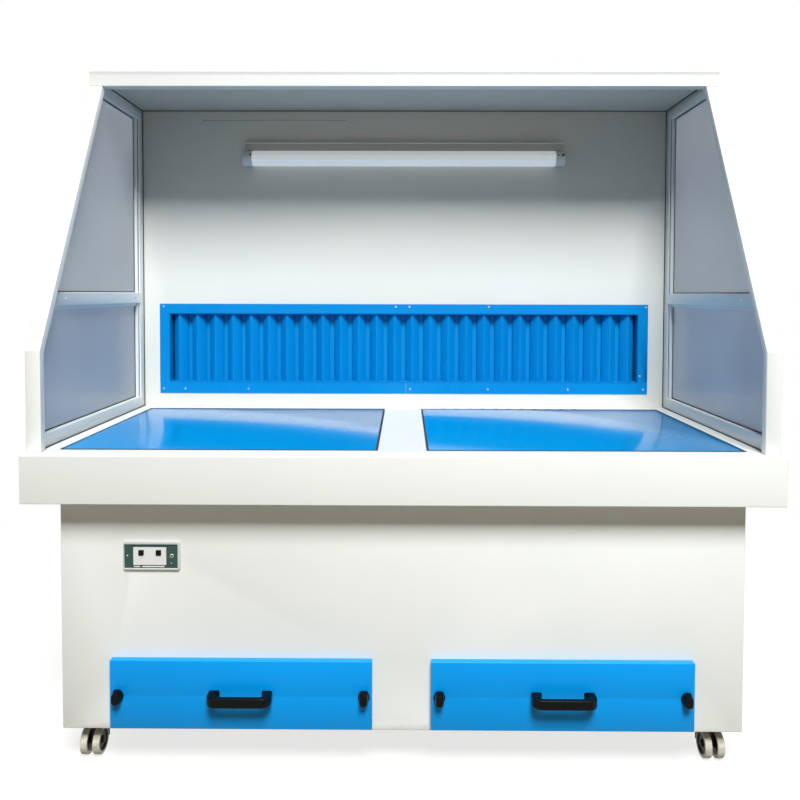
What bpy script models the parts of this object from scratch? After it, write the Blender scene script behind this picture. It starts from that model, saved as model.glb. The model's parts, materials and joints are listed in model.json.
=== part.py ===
"""Downdraft sanding bench: a steel cabinet on casters, an open hood and a baffled intake in its back wall.

Metres, +Z up, +X to the right of someone standing at the bench, front at -Y.
The origin lies on the floor below the middle of the bench.
"""

import math

import bmesh
import bpy
from mathutils import Matrix, Vector

# Whole bench
TABLE_WIDTH = 2.000
TABLE_DEPTH = 1.000
TABLE_HEIGHT = 2.000
WORKTOP_HEIGHT = 0.865
SHEET = 0.002
FIT = 0.0003
OVERRUN = 0.010

# Cabinet
CABINET_SIDE_SETBACK = 0.076
CABINET_SETBACK = 0.070
CABINET_REAR_SETBACK = 0.020
CABINET_CLEARANCE = 0.102
CABINET_FLANGE = 0.030

# Worktop and its two work plates
APRON_HEIGHT = 0.128
PLATE_SIDE_MARGIN = 0.071
PLATE_REAR_MARGIN = 0.165
PLATE_SETBACK = 0.085
PLATE_BRIDGE = 0.136
PLATE_SEAM = 0.0015
PLATE_SHEET = 0.003
PLATE_RIM = 0.020
PLATE_LEDGE = 0.018
PLATE_RIB_WIDTH = 0.030
PLATE_RIB_SHARES = (1 / 3, 2 / 3)
SLOT_SIDE_MARGIN = 0.150
SLOT_DEPTH = 0.056
SLOT_MARGIN = 0.018

# Side frames and their panes
FRAME_SETBACK = 0.040
TUBE_FACE = 0.040
TUBE_SIDE = 0.025
KNEE_RISE = 0.272
CROSSBAR_RISE = 0.387
PANE_THICKNESS = 0.004
PANE_INSET = 0.006

# Back wall, plenum housing and roof
PLENUM_DEPTH = 0.100
PANEL_FLANGE = 0.025
HOUSING_SIDE_MARGIN = 0.050
HOUSING_HEIGHT = 0.435
HOUSING_FLANGE = 0.020
ROOF_SETBACK = 0.482
ROOF_REACH = 0.030
FASCIA_HEIGHT = 0.052
CEILING_DROP = 0.031
ROOF_FLANGE = 0.042
ROOF_LIP_HEIGHT = 0.008
ROOF_LIP_REACH = 0.003

# Baffled intake: a frame with a collar, a row of V blades and a row of channels behind their gaps
LOUVRE_SIDE_MARGIN = 0.085
LOUVRE_HEIGHT = 0.336
LOUVRE_RISE = 0.049
LOUVRE_SIDE_BORDER = 0.038
LOUVRE_BOTTOM_BORDER = 0.043
LOUVRE_TOP_BORDER = 0.037
COLLAR_DEPTH = 0.070
BLADE_COUNT = 26
BLADE_SHEET = 0.0015
BLADE_WIDTH = 0.050
BLADE_DEPTH = 0.027
BLADE_SETBACK = 0.005
CHANNEL_WIDTH = 0.035
CHANNEL_FLANGE = 0.012
CHANNEL_SETBACK = 0.040
CARRIER_MARGIN = 0.001

# Light on the back wall
LIGHT_LENGTH = 1.174
LIGHT_BASE_HEIGHT = 0.030
LIGHT_BASE_DEPTH = 0.024
LIGHT_DROP = 0.208
DIFFUSER_LENGTH = 1.188
DIFFUSER_HEIGHT = 0.055
DIFFUSER_DEPTH = 0.050
DIFFUSER_BACK = 0.016

# Control panel and its two push buttons
CONTROL_WIDTH = 0.154
CONTROL_HEIGHT = 0.079
CONTROL_SIDE_MARGIN = 0.171
CONTROL_DROP = 0.117
CONTROL_REACH = 0.006
CONTROL_RIM = 0.004
CONTROL_FLOOR = 0.002
CONTROL_CORNER = 0.006
MODULE_WIDTH = 0.089
MODULE_HEIGHT = 0.048
MODULE_MARGIN = 0.027
MODULE_BOTTOM_MARGIN = 0.014
MODULE_DEPTH = 0.045
MODULE_REACH = 0.001
BUTTON_SIZE = 0.014
BUTTON_SPACING = 0.047
BUTTON_RISE = 0.033
BUTTON_REACH = 0.003
BUTTON_DEPTH = 0.007
BUTTON_TRAVEL = 0.002
BUTTON_GAP = 0.0004

# Drawers
DRAWER_SIDE_MARGIN = 0.1365
DRAWER_SPACING = 0.159
DRAWER_HEIGHT = 0.187
DRAWER_THICKNESS = 0.020
DRAWER_RISE = 0.011
OPENING_LAP = 0.010
TRAY_SIDE_GAP = 0.024
TRAY_TOP_GAP = 0.010
TRAY_BOTTOM_GAP = 0.004
TRAY_REAR_GAP = 0.050
RUNNER_LEDGE = 0.020
RUNNER_GUIDE = 0.030
RUNNER_FOOT = 0.025

# Drawer handle
HANDLE_WIDTH = 0.172
HANDLE_BREADTH = 0.026
HANDLE_REACH = 0.046
HANDLE_GRIP = 0.015
HANDLE_LEG = 0.022
HANDLE_FOOT = 0.030
HANDLE_CORNER = 0.024
HANDLE_RISE = 0.094
HANDLE_EDGE = 0.003

# Quarter-turn latch
LATCH_INSET = 0.022
LATCH_RISE = 0.091
KNOB_RADIUS = 0.016
KNOB_REACH = 0.018
KNOB_EDGE = 0.002
WING_THICKNESS = 0.010
WING_LENGTH = 0.028
WING_REACH = 0.025
SHAFT_RADIUS = 0.004
SHAFT_GAP = 0.0005
TONGUE_LENGTH = 0.032
TONGUE_WIDTH = 0.012
TONGUE_THICKNESS = 0.003
TONGUE_GAP = 0.0005

# Filters
FAN_CHAMBER_DEPTH = 0.360
DECK_DROP = 0.047
BULKHEAD_FLANGE = 0.020
CARTRIDGE_RADIUS = 0.150
CARTRIDGE_FRONT_MARGIN = 0.110
CARTRIDGE_BORE = 0.090
CARTRIDGE_CAP = 0.012
CARTRIDGE_OFFSET = 0.430
CARTRIDGE_RISE = 0.398
PLEAT_COUNT = 36
PLEAT_DEPTH = 0.014

# Fan
FAN_WIDTH = 0.160
FAN_SETBACK = 0.178
FAN_RISE = 0.318
SCROLL_START_RADIUS = 0.125
SCROLL_END_RADIUS = 0.170
FAN_INLET_RADIUS = 0.075
IMPELLER_RADIUS = 0.105
IMPELLER_WIDTH = 0.100
IMPELLER_SHEET = 0.003
IMPELLER_RING = 0.024
IMPELLER_BLADES = 12
IMPELLER_HUB_RADIUS = 0.024
IMPELLER_HUB_LENGTH = 0.040
MOTOR_RADIUS = 0.075
MOTOR_LENGTH = 0.200
MOTOR_SHAFT_RADIUS = 0.010
MOTOR_FOOT_WIDTH = 0.110
MOTOR_FOOT_LENGTH = 0.130
GRILLE_BORDER = 0.020
GRILLE_REACH = 0.012
GRILLE_SLATS = 4

# Casters
WHEEL_RADIUS = 0.0375
WHEEL_WIDTH = 0.0205
WHEEL_EDGE = 0.003
WHEEL_RIM = 0.009
WHEEL_RECESS = 0.006
WHEEL_HUB_RADIUS = 0.010
WHEEL_GAP = 0.001
AXLE_RADIUS = 0.004
AXLE_CAP_RADIUS = 0.007
AXLE_CAP = 0.002
FORK_WEB = 0.012
FORK_HEAD_RADIUS = 0.022
FORK_HEAD_HEIGHT = 0.009
FORK_BOSS_RADIUS = 0.012
HOOD_GAP = 0.002
HOOD_SHEET = 0.0025
CASTER_TRAIL = 0.022
CASTER_PLATE_SIZE = 0.076
CASTER_PLATE_SHEET = 0.0035
CASTER_SIDE_MARGIN = 0.062
CASTER_FRONT_MARGIN = 0.081
CASTER_REAR_MARGIN = 0.060

# Counts of facets
ROUND_STEPS = 24
SMALL_ROUND_STEPS = 16
CORNER_STEPS = 4

# Angles
SHARP_ANGLE = math.radians(35)
EDGE_ANGLE = math.radians(60)
SCROLL_START = math.radians(-60)
SCROLL_END = math.radians(270)
SCROLL_STEPS = 22
IMPELLER_LEAN = math.radians(35)
SLAT_TILT = math.radians(40)
HOOD_START = math.radians(-15)
HOOD_END = math.radians(88)
HOOD_STEPS = 8

# Places worked out from the sizes above
SIDE = TABLE_WIDTH / 2
FRONT = -TABLE_DEPTH / 2
REAR = TABLE_DEPTH / 2
CABINET_SIDE = SIDE - CABINET_SIDE_SETBACK
CABINET_FRONT = FRONT + CABINET_SETBACK
CABINET_REAR = REAR - CABINET_REAR_SETBACK
APRON_BOTTOM = WORKTOP_HEIGHT - APRON_HEIGHT
CABINET_TOP = APRON_BOTTOM - FIT
CABINET_FLOOR = CABINET_CLEARANCE + SHEET
PLATE_FRONT = FRONT + PLATE_SETBACK
PLATE_WIDTH = SIDE - PLATE_SIDE_MARGIN - PLATE_BRIDGE / 2
PLATE_DEPTH = TABLE_DEPTH - PLATE_SETBACK - PLATE_REAR_MARGIN
SLOT_SIDE = SIDE - SLOT_SIDE_MARGIN
WALL_FRONT = REAR - PLENUM_DEPTH
ROOF_FRONT = FRONT + ROOF_SETBACK
ROOF_REAR = WALL_FRONT + ROOF_REACH
FASCIA_BOTTOM = TABLE_HEIGHT - FASCIA_HEIGHT
CEILING = TABLE_HEIGHT - CEILING_DROP
ROOF_FLANGE_REAR = ROOF_FRONT + ROOF_FLANGE
DECK = WORKTOP_HEIGHT + FIT
BULKHEAD = CABINET_REAR - FAN_CHAMBER_DEPTH
DRAWER_WIDTH = CABINET_SIDE - DRAWER_SIDE_MARGIN - DRAWER_SPACING / 2
DRAWER_OFFSET = (DRAWER_SPACING + DRAWER_WIDTH) / 2
DRAWER_BOTTOM = CABINET_CLEARANCE + DRAWER_RISE
DRAWER_FACE = CABINET_FRONT - DRAWER_THICKNESS
OPENING_HALF_WIDTH = DRAWER_WIDTH / 2 - OPENING_LAP
OPENING_BOTTOM = DRAWER_BOTTOM + OPENING_LAP
OPENING_TOP = DRAWER_BOTTOM + DRAWER_HEIGHT - OPENING_LAP
TRAY_HALF_WIDTH = OPENING_HALF_WIDTH - TRAY_SIDE_GAP
TRAY_REAR = BULKHEAD - TRAY_REAR_GAP
TRAY_BOTTOM = OPENING_BOTTOM + TRAY_BOTTOM_GAP
TRAY_TOP = OPENING_TOP - TRAY_TOP_GAP
HOUSING_SIDE = SIDE - HOUSING_SIDE_MARGIN
LOUVRE_SIDE = SIDE - LOUVRE_SIDE_MARGIN
LOUVRE_BOTTOM = WORKTOP_HEIGHT + LOUVRE_RISE
LOUVRE_FACE = WALL_FRONT - SHEET
INTAKE_SIDE = LOUVRE_SIDE - LOUVRE_SIDE_BORDER
INTAKE_BOTTOM = LOUVRE_BOTTOM + LOUVRE_BOTTOM_BORDER
INTAKE_TOP = LOUVRE_BOTTOM + LOUVRE_HEIGHT - LOUVRE_TOP_BORDER
FILTER_DECK = CABINET_TOP - DECK_DROP
CARTRIDGE_HEIGHT = CABINET_FLOOR + CARTRIDGE_RISE
CARTRIDGE_LENGTH = BULKHEAD - CABINET_FRONT - CARTRIDGE_FRONT_MARGIN
FAN_Y = CABINET_REAR - SHEET - FAN_SETBACK
FAN_Z = CABINET_FLOOR + FAN_RISE
OUTLET_BOTTOM = FAN_Z - SCROLL_END_RADIUS
OUTLET_TOP = FAN_Z + SCROLL_START_RADIUS * math.sin(SCROLL_START)
CASTER_X = CABINET_SIDE - CASTER_SIDE_MARGIN
CASTER_PLATE_TOP = CABINET_CLEARANCE - FIT
CASTER_PLATE_BOTTOM = CASTER_PLATE_TOP - CASTER_PLATE_SHEET

SIDES = {"left": -1, "right": 1}


def clear_scene():
    for item in list(bpy.data.objects):
        bpy.data.objects.remove(item, do_unlink=True)


def linear(channel):
    """One sRGB channel, 0 to 255, as linear light."""
    value = channel / 255
    if value <= 0.04045:
        return value / 12.92
    return ((value + 0.055) / 1.055) ** 2.4


def make_finish(name, red, green, blue, roughness, metallic=0.0, alpha=1.0):
    material = bpy.data.materials.new(name)
    material.use_nodes = True
    shader = material.node_tree.nodes["Principled BSDF"]
    shader.inputs["Base Color"].default_value = (linear(red), linear(green), linear(blue), 1.0)
    shader.inputs["Roughness"].default_value = roughness
    shader.inputs["Metallic"].default_value = metallic
    shader.inputs["Alpha"].default_value = alpha
    return material


def make_finishes():
    return {
        "white_coat": make_finish("white_coat", 232, 234, 230, 0.45),
        "blue_coat": make_finish("blue_coat", 12, 146, 234, 0.30),
        "pane": make_finish("pane", 205, 216, 222, 0.20, alpha=0.35),
        "black_plastic": make_finish("black_plastic", 22, 23, 25, 0.42),
        "white_plastic": make_finish("white_plastic", 238, 240, 240, 0.35),
        "green_plastic": make_finish("green_plastic", 34, 74, 62, 0.45),
        "tread": make_finish("tread", 216, 213, 198, 0.55),
        "zinc": make_finish("zinc", 176, 180, 184, 0.38, metallic=0.9),
        "filter_media": make_finish("filter_media", 226, 224, 214, 0.85),
        "motor_coat": make_finish("motor_coat", 64, 82, 104, 0.50),
    }


def add_object(name, shape):
    """Turn a bmesh into an object whose faces all point outward."""
    bmesh.ops.recalc_face_normals(shape, faces=shape.faces)
    mesh = bpy.data.meshes.new(name)
    shape.to_mesh(mesh)
    shape.free()
    item = bpy.data.objects.new(name, mesh)
    bpy.context.scene.collection.objects.link(item)
    return item


def blocks(name, boxes):
    """Boxes in one mesh, each given as its spans along X, Y and Z."""
    shape = bmesh.new()
    for spans in boxes:
        middle = [(low + high) / 2 for low, high in spans]
        size = [high - low for low, high in spans]
        matrix = Matrix.Translation(middle) @ Matrix.Diagonal((*size, 1))
        bmesh.ops.create_cube(shape, size=1, matrix=matrix)
    return add_object(name, shape)


def block(name, x_span, y_span, z_span):
    return blocks(name, [(x_span, y_span, z_span)])


def in_space(axis, along, point):
    """A point of the plane across an axis, at a place along that axis."""
    first, second = point
    return {"X": (along, first, second), "Y": (first, along, second), "Z": (first, second, along)}[axis]


def prisms(name, outlines, axis, span):
    """Outlines pulled straight from one end of a span to the other, as separate shells of one mesh."""
    shape = bmesh.new()
    for outline in outlines:
        ends = [[shape.verts.new(in_space(axis, along, point)) for point in outline] for along in span]
        for end in ends:
            shape.faces.new(end)
        near, far = ends
        for index in range(len(outline)):
            shape.faces.new((near[index - 1], near[index], far[index], far[index - 1]))
    return add_object(name, shape)


def prism(name, outline, axis, span):
    return prisms(name, [outline], axis, span)


def turned(name, profile, axis, centre, steps=ROUND_STEPS, flats_at_radius=False):
    """A closed profile of (radius, place along the axis) turned about that axis.

    With flats_at_radius the facets touch the radius and one of them faces straight down.
    Otherwise the corners lie on it.
    """
    shape = bmesh.new()
    turn = math.tau / steps
    start = -math.pi / 2 + (turn / 2 if flats_at_radius else 0)
    grow = 1 / math.cos(turn / 2) if flats_at_radius else 1
    rings = []
    for radius, along in profile:
        if radius == 0:
            rings.append([shape.verts.new(in_space(axis, along, centre))] * steps)
            continue
        ring = []
        for step in range(steps):
            angle = start + turn * step
            first = centre[0] + radius * grow * math.cos(angle)
            second = centre[1] + radius * grow * math.sin(angle)
            ring.append(shape.verts.new(in_space(axis, along, (first, second))))
        rings.append(ring)
    for index, ring in enumerate(rings):
        before = rings[index - 1]
        for step in range(steps):
            corners = (before[step - 1], before[step], ring[step], ring[step - 1])
            corners = list(dict.fromkeys(corners))
            if len(corners) > 2:
                shape.faces.new(corners)
    return add_object(name, shape)


def rod(name, axis, centre, span, radius, steps=SMALL_ROUND_STEPS, flats_at_radius=False):
    """A plain cylinder."""
    low, high = span
    profile = [(0, low), (radius, low), (radius, high), (0, high)]
    return turned(name, profile, axis, centre, steps, flats_at_radius)


def arc(centre, radius, start, end, steps):
    turn = (end - start) / steps
    angles = [start + turn * step for step in range(steps + 1)]
    return [(centre[0] + radius * math.cos(a), centre[1] + radius * math.sin(a)) for a in angles]


def rounded(first_span, second_span, radius):
    """A rectangle with round corners."""
    corners = (
        (first_span[1] - radius, second_span[1] - radius),
        (first_span[0] + radius, second_span[1] - radius),
        (first_span[0] + radius, second_span[0] + radius),
        (first_span[1] - radius, second_span[0] + radius),
    )
    points = []
    for index, corner in enumerate(corners):
        start = index * math.pi / 2
        points += arc(corner, radius, start, start + math.pi / 2, CORNER_STEPS)
    return points


def inset(outline, distance):
    """A convex outline that runs anticlockwise, drawn in by a distance on every side."""
    lines = []
    for index, point in enumerate(outline):
        start = Vector(outline[index - 1])
        along = (Vector(point) - start).normalized()
        inward = Vector((-along.y, along.x))
        lines.append((start + inward * distance, along))
    points = []
    for index, (start, along) in enumerate(lines):
        other_start, other_along = lines[(index + 1) % len(lines)]
        across = along.cross(other_along)
        reach = (other_start - start).cross(other_along) / across
        points.append(tuple(start + along * reach))
    return points


def change(target, helper, operation):
    """Join a helper to a target, or cut it out of it."""
    helper.hide_render = True
    helper.display_type = "WIRE"
    modifier = target.modifiers.new(helper.name, "BOOLEAN")
    modifier.operation = operation
    modifier.object = helper
    modifier.solver = "EXACT"


def join(target, helper):
    change(target, helper, "UNION")


def cut(target, helper):
    change(target, helper, "DIFFERENCE")


def world_place(item):
    place = item.location.copy()
    while item.parent:
        item = item.parent
        place += item.location
    return place


def hang(child, parent):
    """Parent an object without moving it."""
    child.location -= world_place(parent)
    child.parent = parent


def settle(item, finish, origin=(0, 0, 0)):
    """Give a finished piece its material and its origin, with its helpers hanging from it."""
    item.data.materials.clear()
    item.data.materials.append(finish)
    item.data.transform(Matrix.Translation(-Vector(origin)))
    item.location = origin
    for modifier in item.modifiers:
        if modifier.type == "BOOLEAN":
            hang(modifier.object, item)
    item.data.shade_smooth()
    item.data.set_sharp_from_angle(angle=SHARP_ANGLE)
    return item


def add_empty(name, place):
    empty = bpy.data.objects.new(name, None)
    bpy.context.scene.collection.objects.link(empty)
    empty.location = place
    return empty


def both(half):
    """A span that reaches equally far to both sides of zero."""
    return (-half, half)


def around(middle, half):
    return (middle - half, middle + half)


def make_cabinet(finishes):
    """Folded steel cabinet, open at the top and cut out for the drawers, the controls and the exhaust."""
    inner_side = CABINET_SIDE - SHEET
    inner_front = CABINET_FRONT + SHEET
    inner_rear = CABINET_REAR - SHEET
    shell = block(
        "cabinet_shell",
        both(CABINET_SIDE),
        (CABINET_FRONT, CABINET_REAR),
        (CABINET_CLEARANCE, CABINET_TOP),
    )
    hollow = block(
        "cabinet_hollow", both(inner_side), (inner_front, inner_rear), (CABINET_FLOOR, CABINET_TOP - SHEET)
    )
    cut(shell, hollow)
    mouth = block(
        "cabinet_mouth",
        both(CABINET_SIDE - CABINET_FLANGE),
        (CABINET_FRONT + CABINET_FLANGE, CABINET_REAR - CABINET_FLANGE),
        (CABINET_FLOOR + OVERRUN, CABINET_TOP + OVERRUN),
    )
    cut(shell, mouth)
    front_wall = (CABINET_FRONT - OVERRUN, inner_front + OVERRUN)
    for side, sign in SIDES.items():
        bay = block(
            f"cabinet_bay_{side}",
            around(sign * DRAWER_OFFSET, OPENING_HALF_WIDTH),
            front_wall,
            (OPENING_BOTTOM, OPENING_TOP),
        )
        cut(shell, bay)
    module_x, module_z = module_spans(FIT)
    cut(shell, block("cabinet_control_cut", module_x, front_wall, module_z))
    outlet = block(
        "cabinet_outlet",
        both(FAN_WIDTH / 2 - SHEET),
        (inner_rear - OVERRUN, CABINET_REAR + OVERRUN),
        (OUTLET_BOTTOM + SHEET, OUTLET_TOP - SHEET),
    )
    cut(shell, outlet)
    return settle(shell, finishes["white_coat"])


def plate_spans(sign, margin):
    """The X and Y spans of one work plate, with a margin all round."""
    inner = PLATE_BRIDGE / 2
    middle = sign * (inner + PLATE_WIDTH / 2)
    return (
        around(middle, PLATE_WIDTH / 2 + margin),
        (PLATE_FRONT - margin, PLATE_FRONT + PLATE_DEPTH + margin),
    )


def make_worktop(finishes):
    """Deep folded pan with a ledge for each work plate and a slot that lets air down from the plenum."""
    deck_under = WORKTOP_HEIGHT - SHEET
    ledge_top = WORKTOP_HEIGHT - PLATE_RIM - FIT
    ledge_bottom = ledge_top - SHEET
    frame = block("worktop_frame", both(SIDE), (FRONT, REAR), (APRON_BOTTOM, WORKTOP_HEIGHT))
    hollow = block(
        "worktop_hollow",
        both(SIDE - SHEET),
        (FRONT + SHEET, REAR - SHEET),
        (APRON_BOTTOM + SHEET, deck_under),
    )
    cut(frame, hollow)
    ledges = []
    pockets = []
    wells = []
    for sign in SIDES.values():
        ledges.append((*plate_spans(sign, PLATE_SEAM + SHEET), (ledge_bottom, WORKTOP_HEIGHT - SHEET / 2)))
        pockets.append((*plate_spans(sign, PLATE_SEAM), (ledge_top, WORKTOP_HEIGHT + OVERRUN)))
        wells.append((*plate_spans(sign, -PLATE_LEDGE), (ledge_bottom - OVERRUN, ledge_top + OVERRUN)))
    join(frame, blocks("worktop_ledges", ledges))
    cut(frame, blocks("worktop_pockets", pockets))
    cut(frame, blocks("worktop_wells", wells))
    mouth = block(
        "worktop_mouth",
        both(CABINET_SIDE - CABINET_FLANGE),
        (CABINET_FRONT + CABINET_FLANGE, CABINET_REAR - CABINET_FLANGE),
        (APRON_BOTTOM - OVERRUN, APRON_BOTTOM + OVERRUN),
    )
    cut(frame, mouth)
    through_deck = (deck_under - OVERRUN, WORKTOP_HEIGHT + OVERRUN)
    cut(frame, block("worktop_slot", both(SLOT_SIDE), slot_span(), through_deck))
    return settle(frame, finishes["white_coat"])


def slot_span():
    """Where the air slot lies along Y, in the worktop and in the floor of the plenum housing."""
    return (REAR - SLOT_MARGIN - SLOT_DEPTH, REAR - SLOT_MARGIN)


def make_work_plates(finishes):
    """Drop-in steel plates with turned-down rims and two stiffening channels below each."""
    for side, sign in SIDES.items():
        x_span, y_span = plate_spans(sign, 0)
        bottom = WORKTOP_HEIGHT - PLATE_RIM
        plate = block(f"work_plate_{side}", x_span, y_span, (bottom, WORKTOP_HEIGHT))
        inner_x, inner_y = plate_spans(sign, -PLATE_SHEET)
        below_sheet = (bottom - OVERRUN, WORKTOP_HEIGHT - PLATE_SHEET)
        cut(plate, block(f"plate_hollow_{side}", inner_x, inner_y, below_sheet))
        rib_y = plate_spans(sign, -PLATE_SHEET / 2)[1]
        ribs = []
        hollows = []
        for share in PLATE_RIB_SHARES:
            middle = x_span[0] + PLATE_WIDTH * share
            outer = around(middle, PLATE_RIB_WIDTH / 2)
            inner = around(middle, PLATE_RIB_WIDTH / 2 - PLATE_SHEET)
            ribs.append((outer, rib_y, (bottom + PLATE_SHEET / 2, WORKTOP_HEIGHT - PLATE_SHEET / 2)))
            hollows.append((inner, inner_y, below_sheet))
        join(plate, blocks(f"plate_ribs_{side}", ribs))
        cut(plate, blocks(f"plate_rib_hollows_{side}", hollows))
        settle(plate, finishes["blue_coat"], (sum(x_span) / 2, sum(y_span) / 2, WORKTOP_HEIGHT))


def slant_y(height, from_front=0):
    """Y of the slanted post at a height, measured in from its front face."""
    knee = DECK + KNEE_RISE
    top = FASCIA_BOTTOM
    start = FRONT + FRAME_SETBACK
    lean = (ROOF_FRONT - start) / (top - knee)
    return start + (height - knee) * lean + from_front * math.hypot(1, lean)


def knee_inside():
    """The inner corner of the knee, where the inner faces of the two posts meet."""
    inner = FRONT + FRAME_SETBACK + TUBE_SIDE
    knee = DECK + KNEE_RISE
    rise = (inner - slant_y(knee, TUBE_SIDE)) / (slant_y(knee + TUBE_SIDE) - slant_y(knee)) * TUBE_SIDE
    return (inner, knee + rise)


def frame_outline():
    """Outer outline of a side frame in (y, z), with the step that the roof sits on."""
    start = FRONT + FRAME_SETBACK
    top = FASCIA_BOTTOM - FIT
    step = ROOF_FLANGE_REAR + FIT
    return [
        (start, DECK),
        (WALL_FRONT, DECK),
        (WALL_FRONT, CEILING - FIT),
        (step, CEILING - FIT),
        (step, top),
        (slant_y(top), top),
        (start, DECK + KNEE_RISE),
    ]


def post_outline():
    """The bent front post, which is wider than the rest of the frame."""
    start = FRONT + FRAME_SETBACK
    top = FASCIA_BOTTOM - FIT
    return [
        (start, DECK),
        (start + TUBE_SIDE, DECK),
        knee_inside(),
        (slant_y(top, TUBE_SIDE), top),
        (slant_y(top), top),
        (start, DECK + KNEE_RISE),
    ]


def lower_window():
    bottom = DECK + TUBE_FACE
    top = WORKTOP_HEIGHT + CROSSBAR_RISE
    rear = WALL_FRONT - TUBE_FACE
    return [
        (FRONT + FRAME_SETBACK + TUBE_SIDE, bottom),
        (rear, bottom),
        (rear, top),
        (slant_y(top, TUBE_SIDE), top),
        knee_inside(),
    ]


def upper_window():
    bottom = WORKTOP_HEIGHT + CROSSBAR_RISE + TUBE_FACE
    top = CEILING - FIT - TUBE_FACE
    rear = WALL_FRONT - TUBE_FACE
    return [
        (slant_y(bottom, TUBE_SIDE), bottom),
        (rear, bottom),
        (rear, top),
        (slant_y(top, TUBE_SIDE), top),
    ]


def make_side_frames(finishes):
    """Welded tube frames that carry the roof, each glazed with two panes."""
    for side, sign in SIDES.items():
        frame_span = sorted((sign * (SIDE - TUBE_SIDE), sign * SIDE))
        frame = prism(f"side_frame_{side}", frame_outline(), "X", frame_span)
        windows = sorted((sign * (SIDE - TUBE_SIDE - OVERRUN), sign * (SIDE + OVERRUN)))
        cut(frame, prisms(f"frame_windows_{side}", [lower_window(), upper_window()], "X", windows))
        post_span = sorted((sign * (SIDE - TUBE_FACE), sign * (SIDE - TUBE_SIDE / 2)))
        join(frame, prism(f"frame_post_{side}", post_outline(), "X", post_span))
        settle(frame, finishes["white_coat"])
        pane_span = sorted((sign * (SIDE - PANE_INSET - PANE_THICKNESS), sign * (SIDE - PANE_INSET)))
        for level, window in (("lower", lower_window()), ("upper", upper_window())):
            pane = prism(f"pane_{level}_{side}", inset(window, FIT), "X", pane_span)
            settle(pane, finishes["pane"])


def make_back_panel(finishes):
    """Back wall sheet with turned-back edges and the opening for the intake."""
    front = WALL_FRONT + FIT
    rear = front + SHEET
    panel = block("back_panel", both(SIDE), (front, front + PANEL_FLANGE), (DECK, CEILING - FIT))
    hollow = block(
        "panel_hollow",
        both(SIDE - SHEET),
        (rear, front + PANEL_FLANGE + OVERRUN),
        (DECK - OVERRUN, CEILING - FIT - SHEET),
    )
    cut(panel, hollow)
    margin = SHEET + FIT
    opening = block(
        "panel_opening",
        both(INTAKE_SIDE + margin),
        (front - OVERRUN, rear + OVERRUN),
        (INTAKE_BOTTOM - margin, INTAKE_TOP + margin),
    )
    cut(panel, opening)
    return settle(panel, finishes["white_coat"])


def make_rear_housing(finishes):
    """Plenum box behind the back wall, open towards the intake and above the air slot."""
    front = WALL_FRONT + FIT + SHEET + FIT
    half = HOUSING_SIDE
    top = DECK + HOUSING_HEIGHT
    housing = block("rear_housing", both(half), (front, REAR), (DECK, top))
    flange = block(
        "housing_flange", both(half + HOUSING_FLANGE), (front, front + SHEET), (DECK, top + HOUSING_FLANGE)
    )
    join(housing, flange)
    hollow = block(
        "housing_hollow",
        both(half - SHEET),
        (front - OVERRUN, REAR - SHEET),
        (DECK + SHEET, top - SHEET),
    )
    cut(housing, hollow)
    slot = block("housing_slot", both(SLOT_SIDE), slot_span(), (DECK - OVERRUN, DECK + OVERRUN))
    cut(housing, slot)
    return settle(housing, finishes["white_coat"])


def make_roof(finishes):
    """Roof tray with a front fascia, a return flange below it and a lip along its top edge."""
    roof = block("roof_cover", both(SIDE), (ROOF_FRONT, ROOF_REAR), (CEILING, TABLE_HEIGHT))
    nose = block(
        "roof_nose",
        both(SIDE),
        (ROOF_FRONT, ROOF_FLANGE_REAR),
        (FASCIA_BOTTOM, TABLE_HEIGHT - SHEET),
    )
    join(roof, nose)
    lip = block(
        "roof_lip",
        both(SIDE),
        (ROOF_FRONT - ROOF_LIP_REACH, ROOF_FRONT + SHEET),
        (TABLE_HEIGHT - ROOF_LIP_HEIGHT, TABLE_HEIGHT),
    )
    join(roof, lip)
    inner_side = both(SIDE - SHEET)
    cut(
        roof,
        block(
            "roof_hollow",
            inner_side,
            (ROOF_FRONT + SHEET, ROOF_REAR - SHEET),
            (CEILING - FIT, TABLE_HEIGHT - SHEET),
        ),
    )
    cut(
        roof,
        block(
            "roof_nose_hollow",
            inner_side,
            (ROOF_FRONT + SHEET, ROOF_FLANGE_REAR - SHEET),
            (FASCIA_BOTTOM + SHEET, CEILING + SHEET),
        ),
    )
    settle(roof, finishes["white_coat"])
    liner = block(
        "ceiling_liner",
        both(SIDE - SHEET - FIT),
        (ROOF_FRONT + SHEET + FIT, ROOF_REAR - SHEET - FIT),
        (CEILING, CEILING + SHEET),
    )
    settle(liner, finishes["white_coat"])


def make_louvre_frame(finishes):
    """Flat border on the wall with a collar through it that holds both rows of blades."""
    rear = WALL_FRONT
    frame = block(
        "louvre_frame",
        both(LOUVRE_SIDE),
        (LOUVRE_FACE, rear),
        (LOUVRE_BOTTOM, LOUVRE_BOTTOM + LOUVRE_HEIGHT),
    )
    collar = block(
        "louvre_collar",
        both(INTAKE_SIDE + SHEET),
        (LOUVRE_FACE + SHEET / 2, LOUVRE_FACE + COLLAR_DEPTH),
        (INTAKE_BOTTOM - SHEET, INTAKE_TOP + SHEET),
    )
    join(frame, collar)
    through = block(
        "louvre_through",
        both(INTAKE_SIDE),
        (LOUVRE_FACE - OVERRUN, LOUVRE_FACE + COLLAR_DEPTH + OVERRUN),
        (INTAKE_BOTTOM, INTAKE_TOP),
    )
    cut(frame, through)
    return settle(frame, finishes["blue_coat"])


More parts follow.
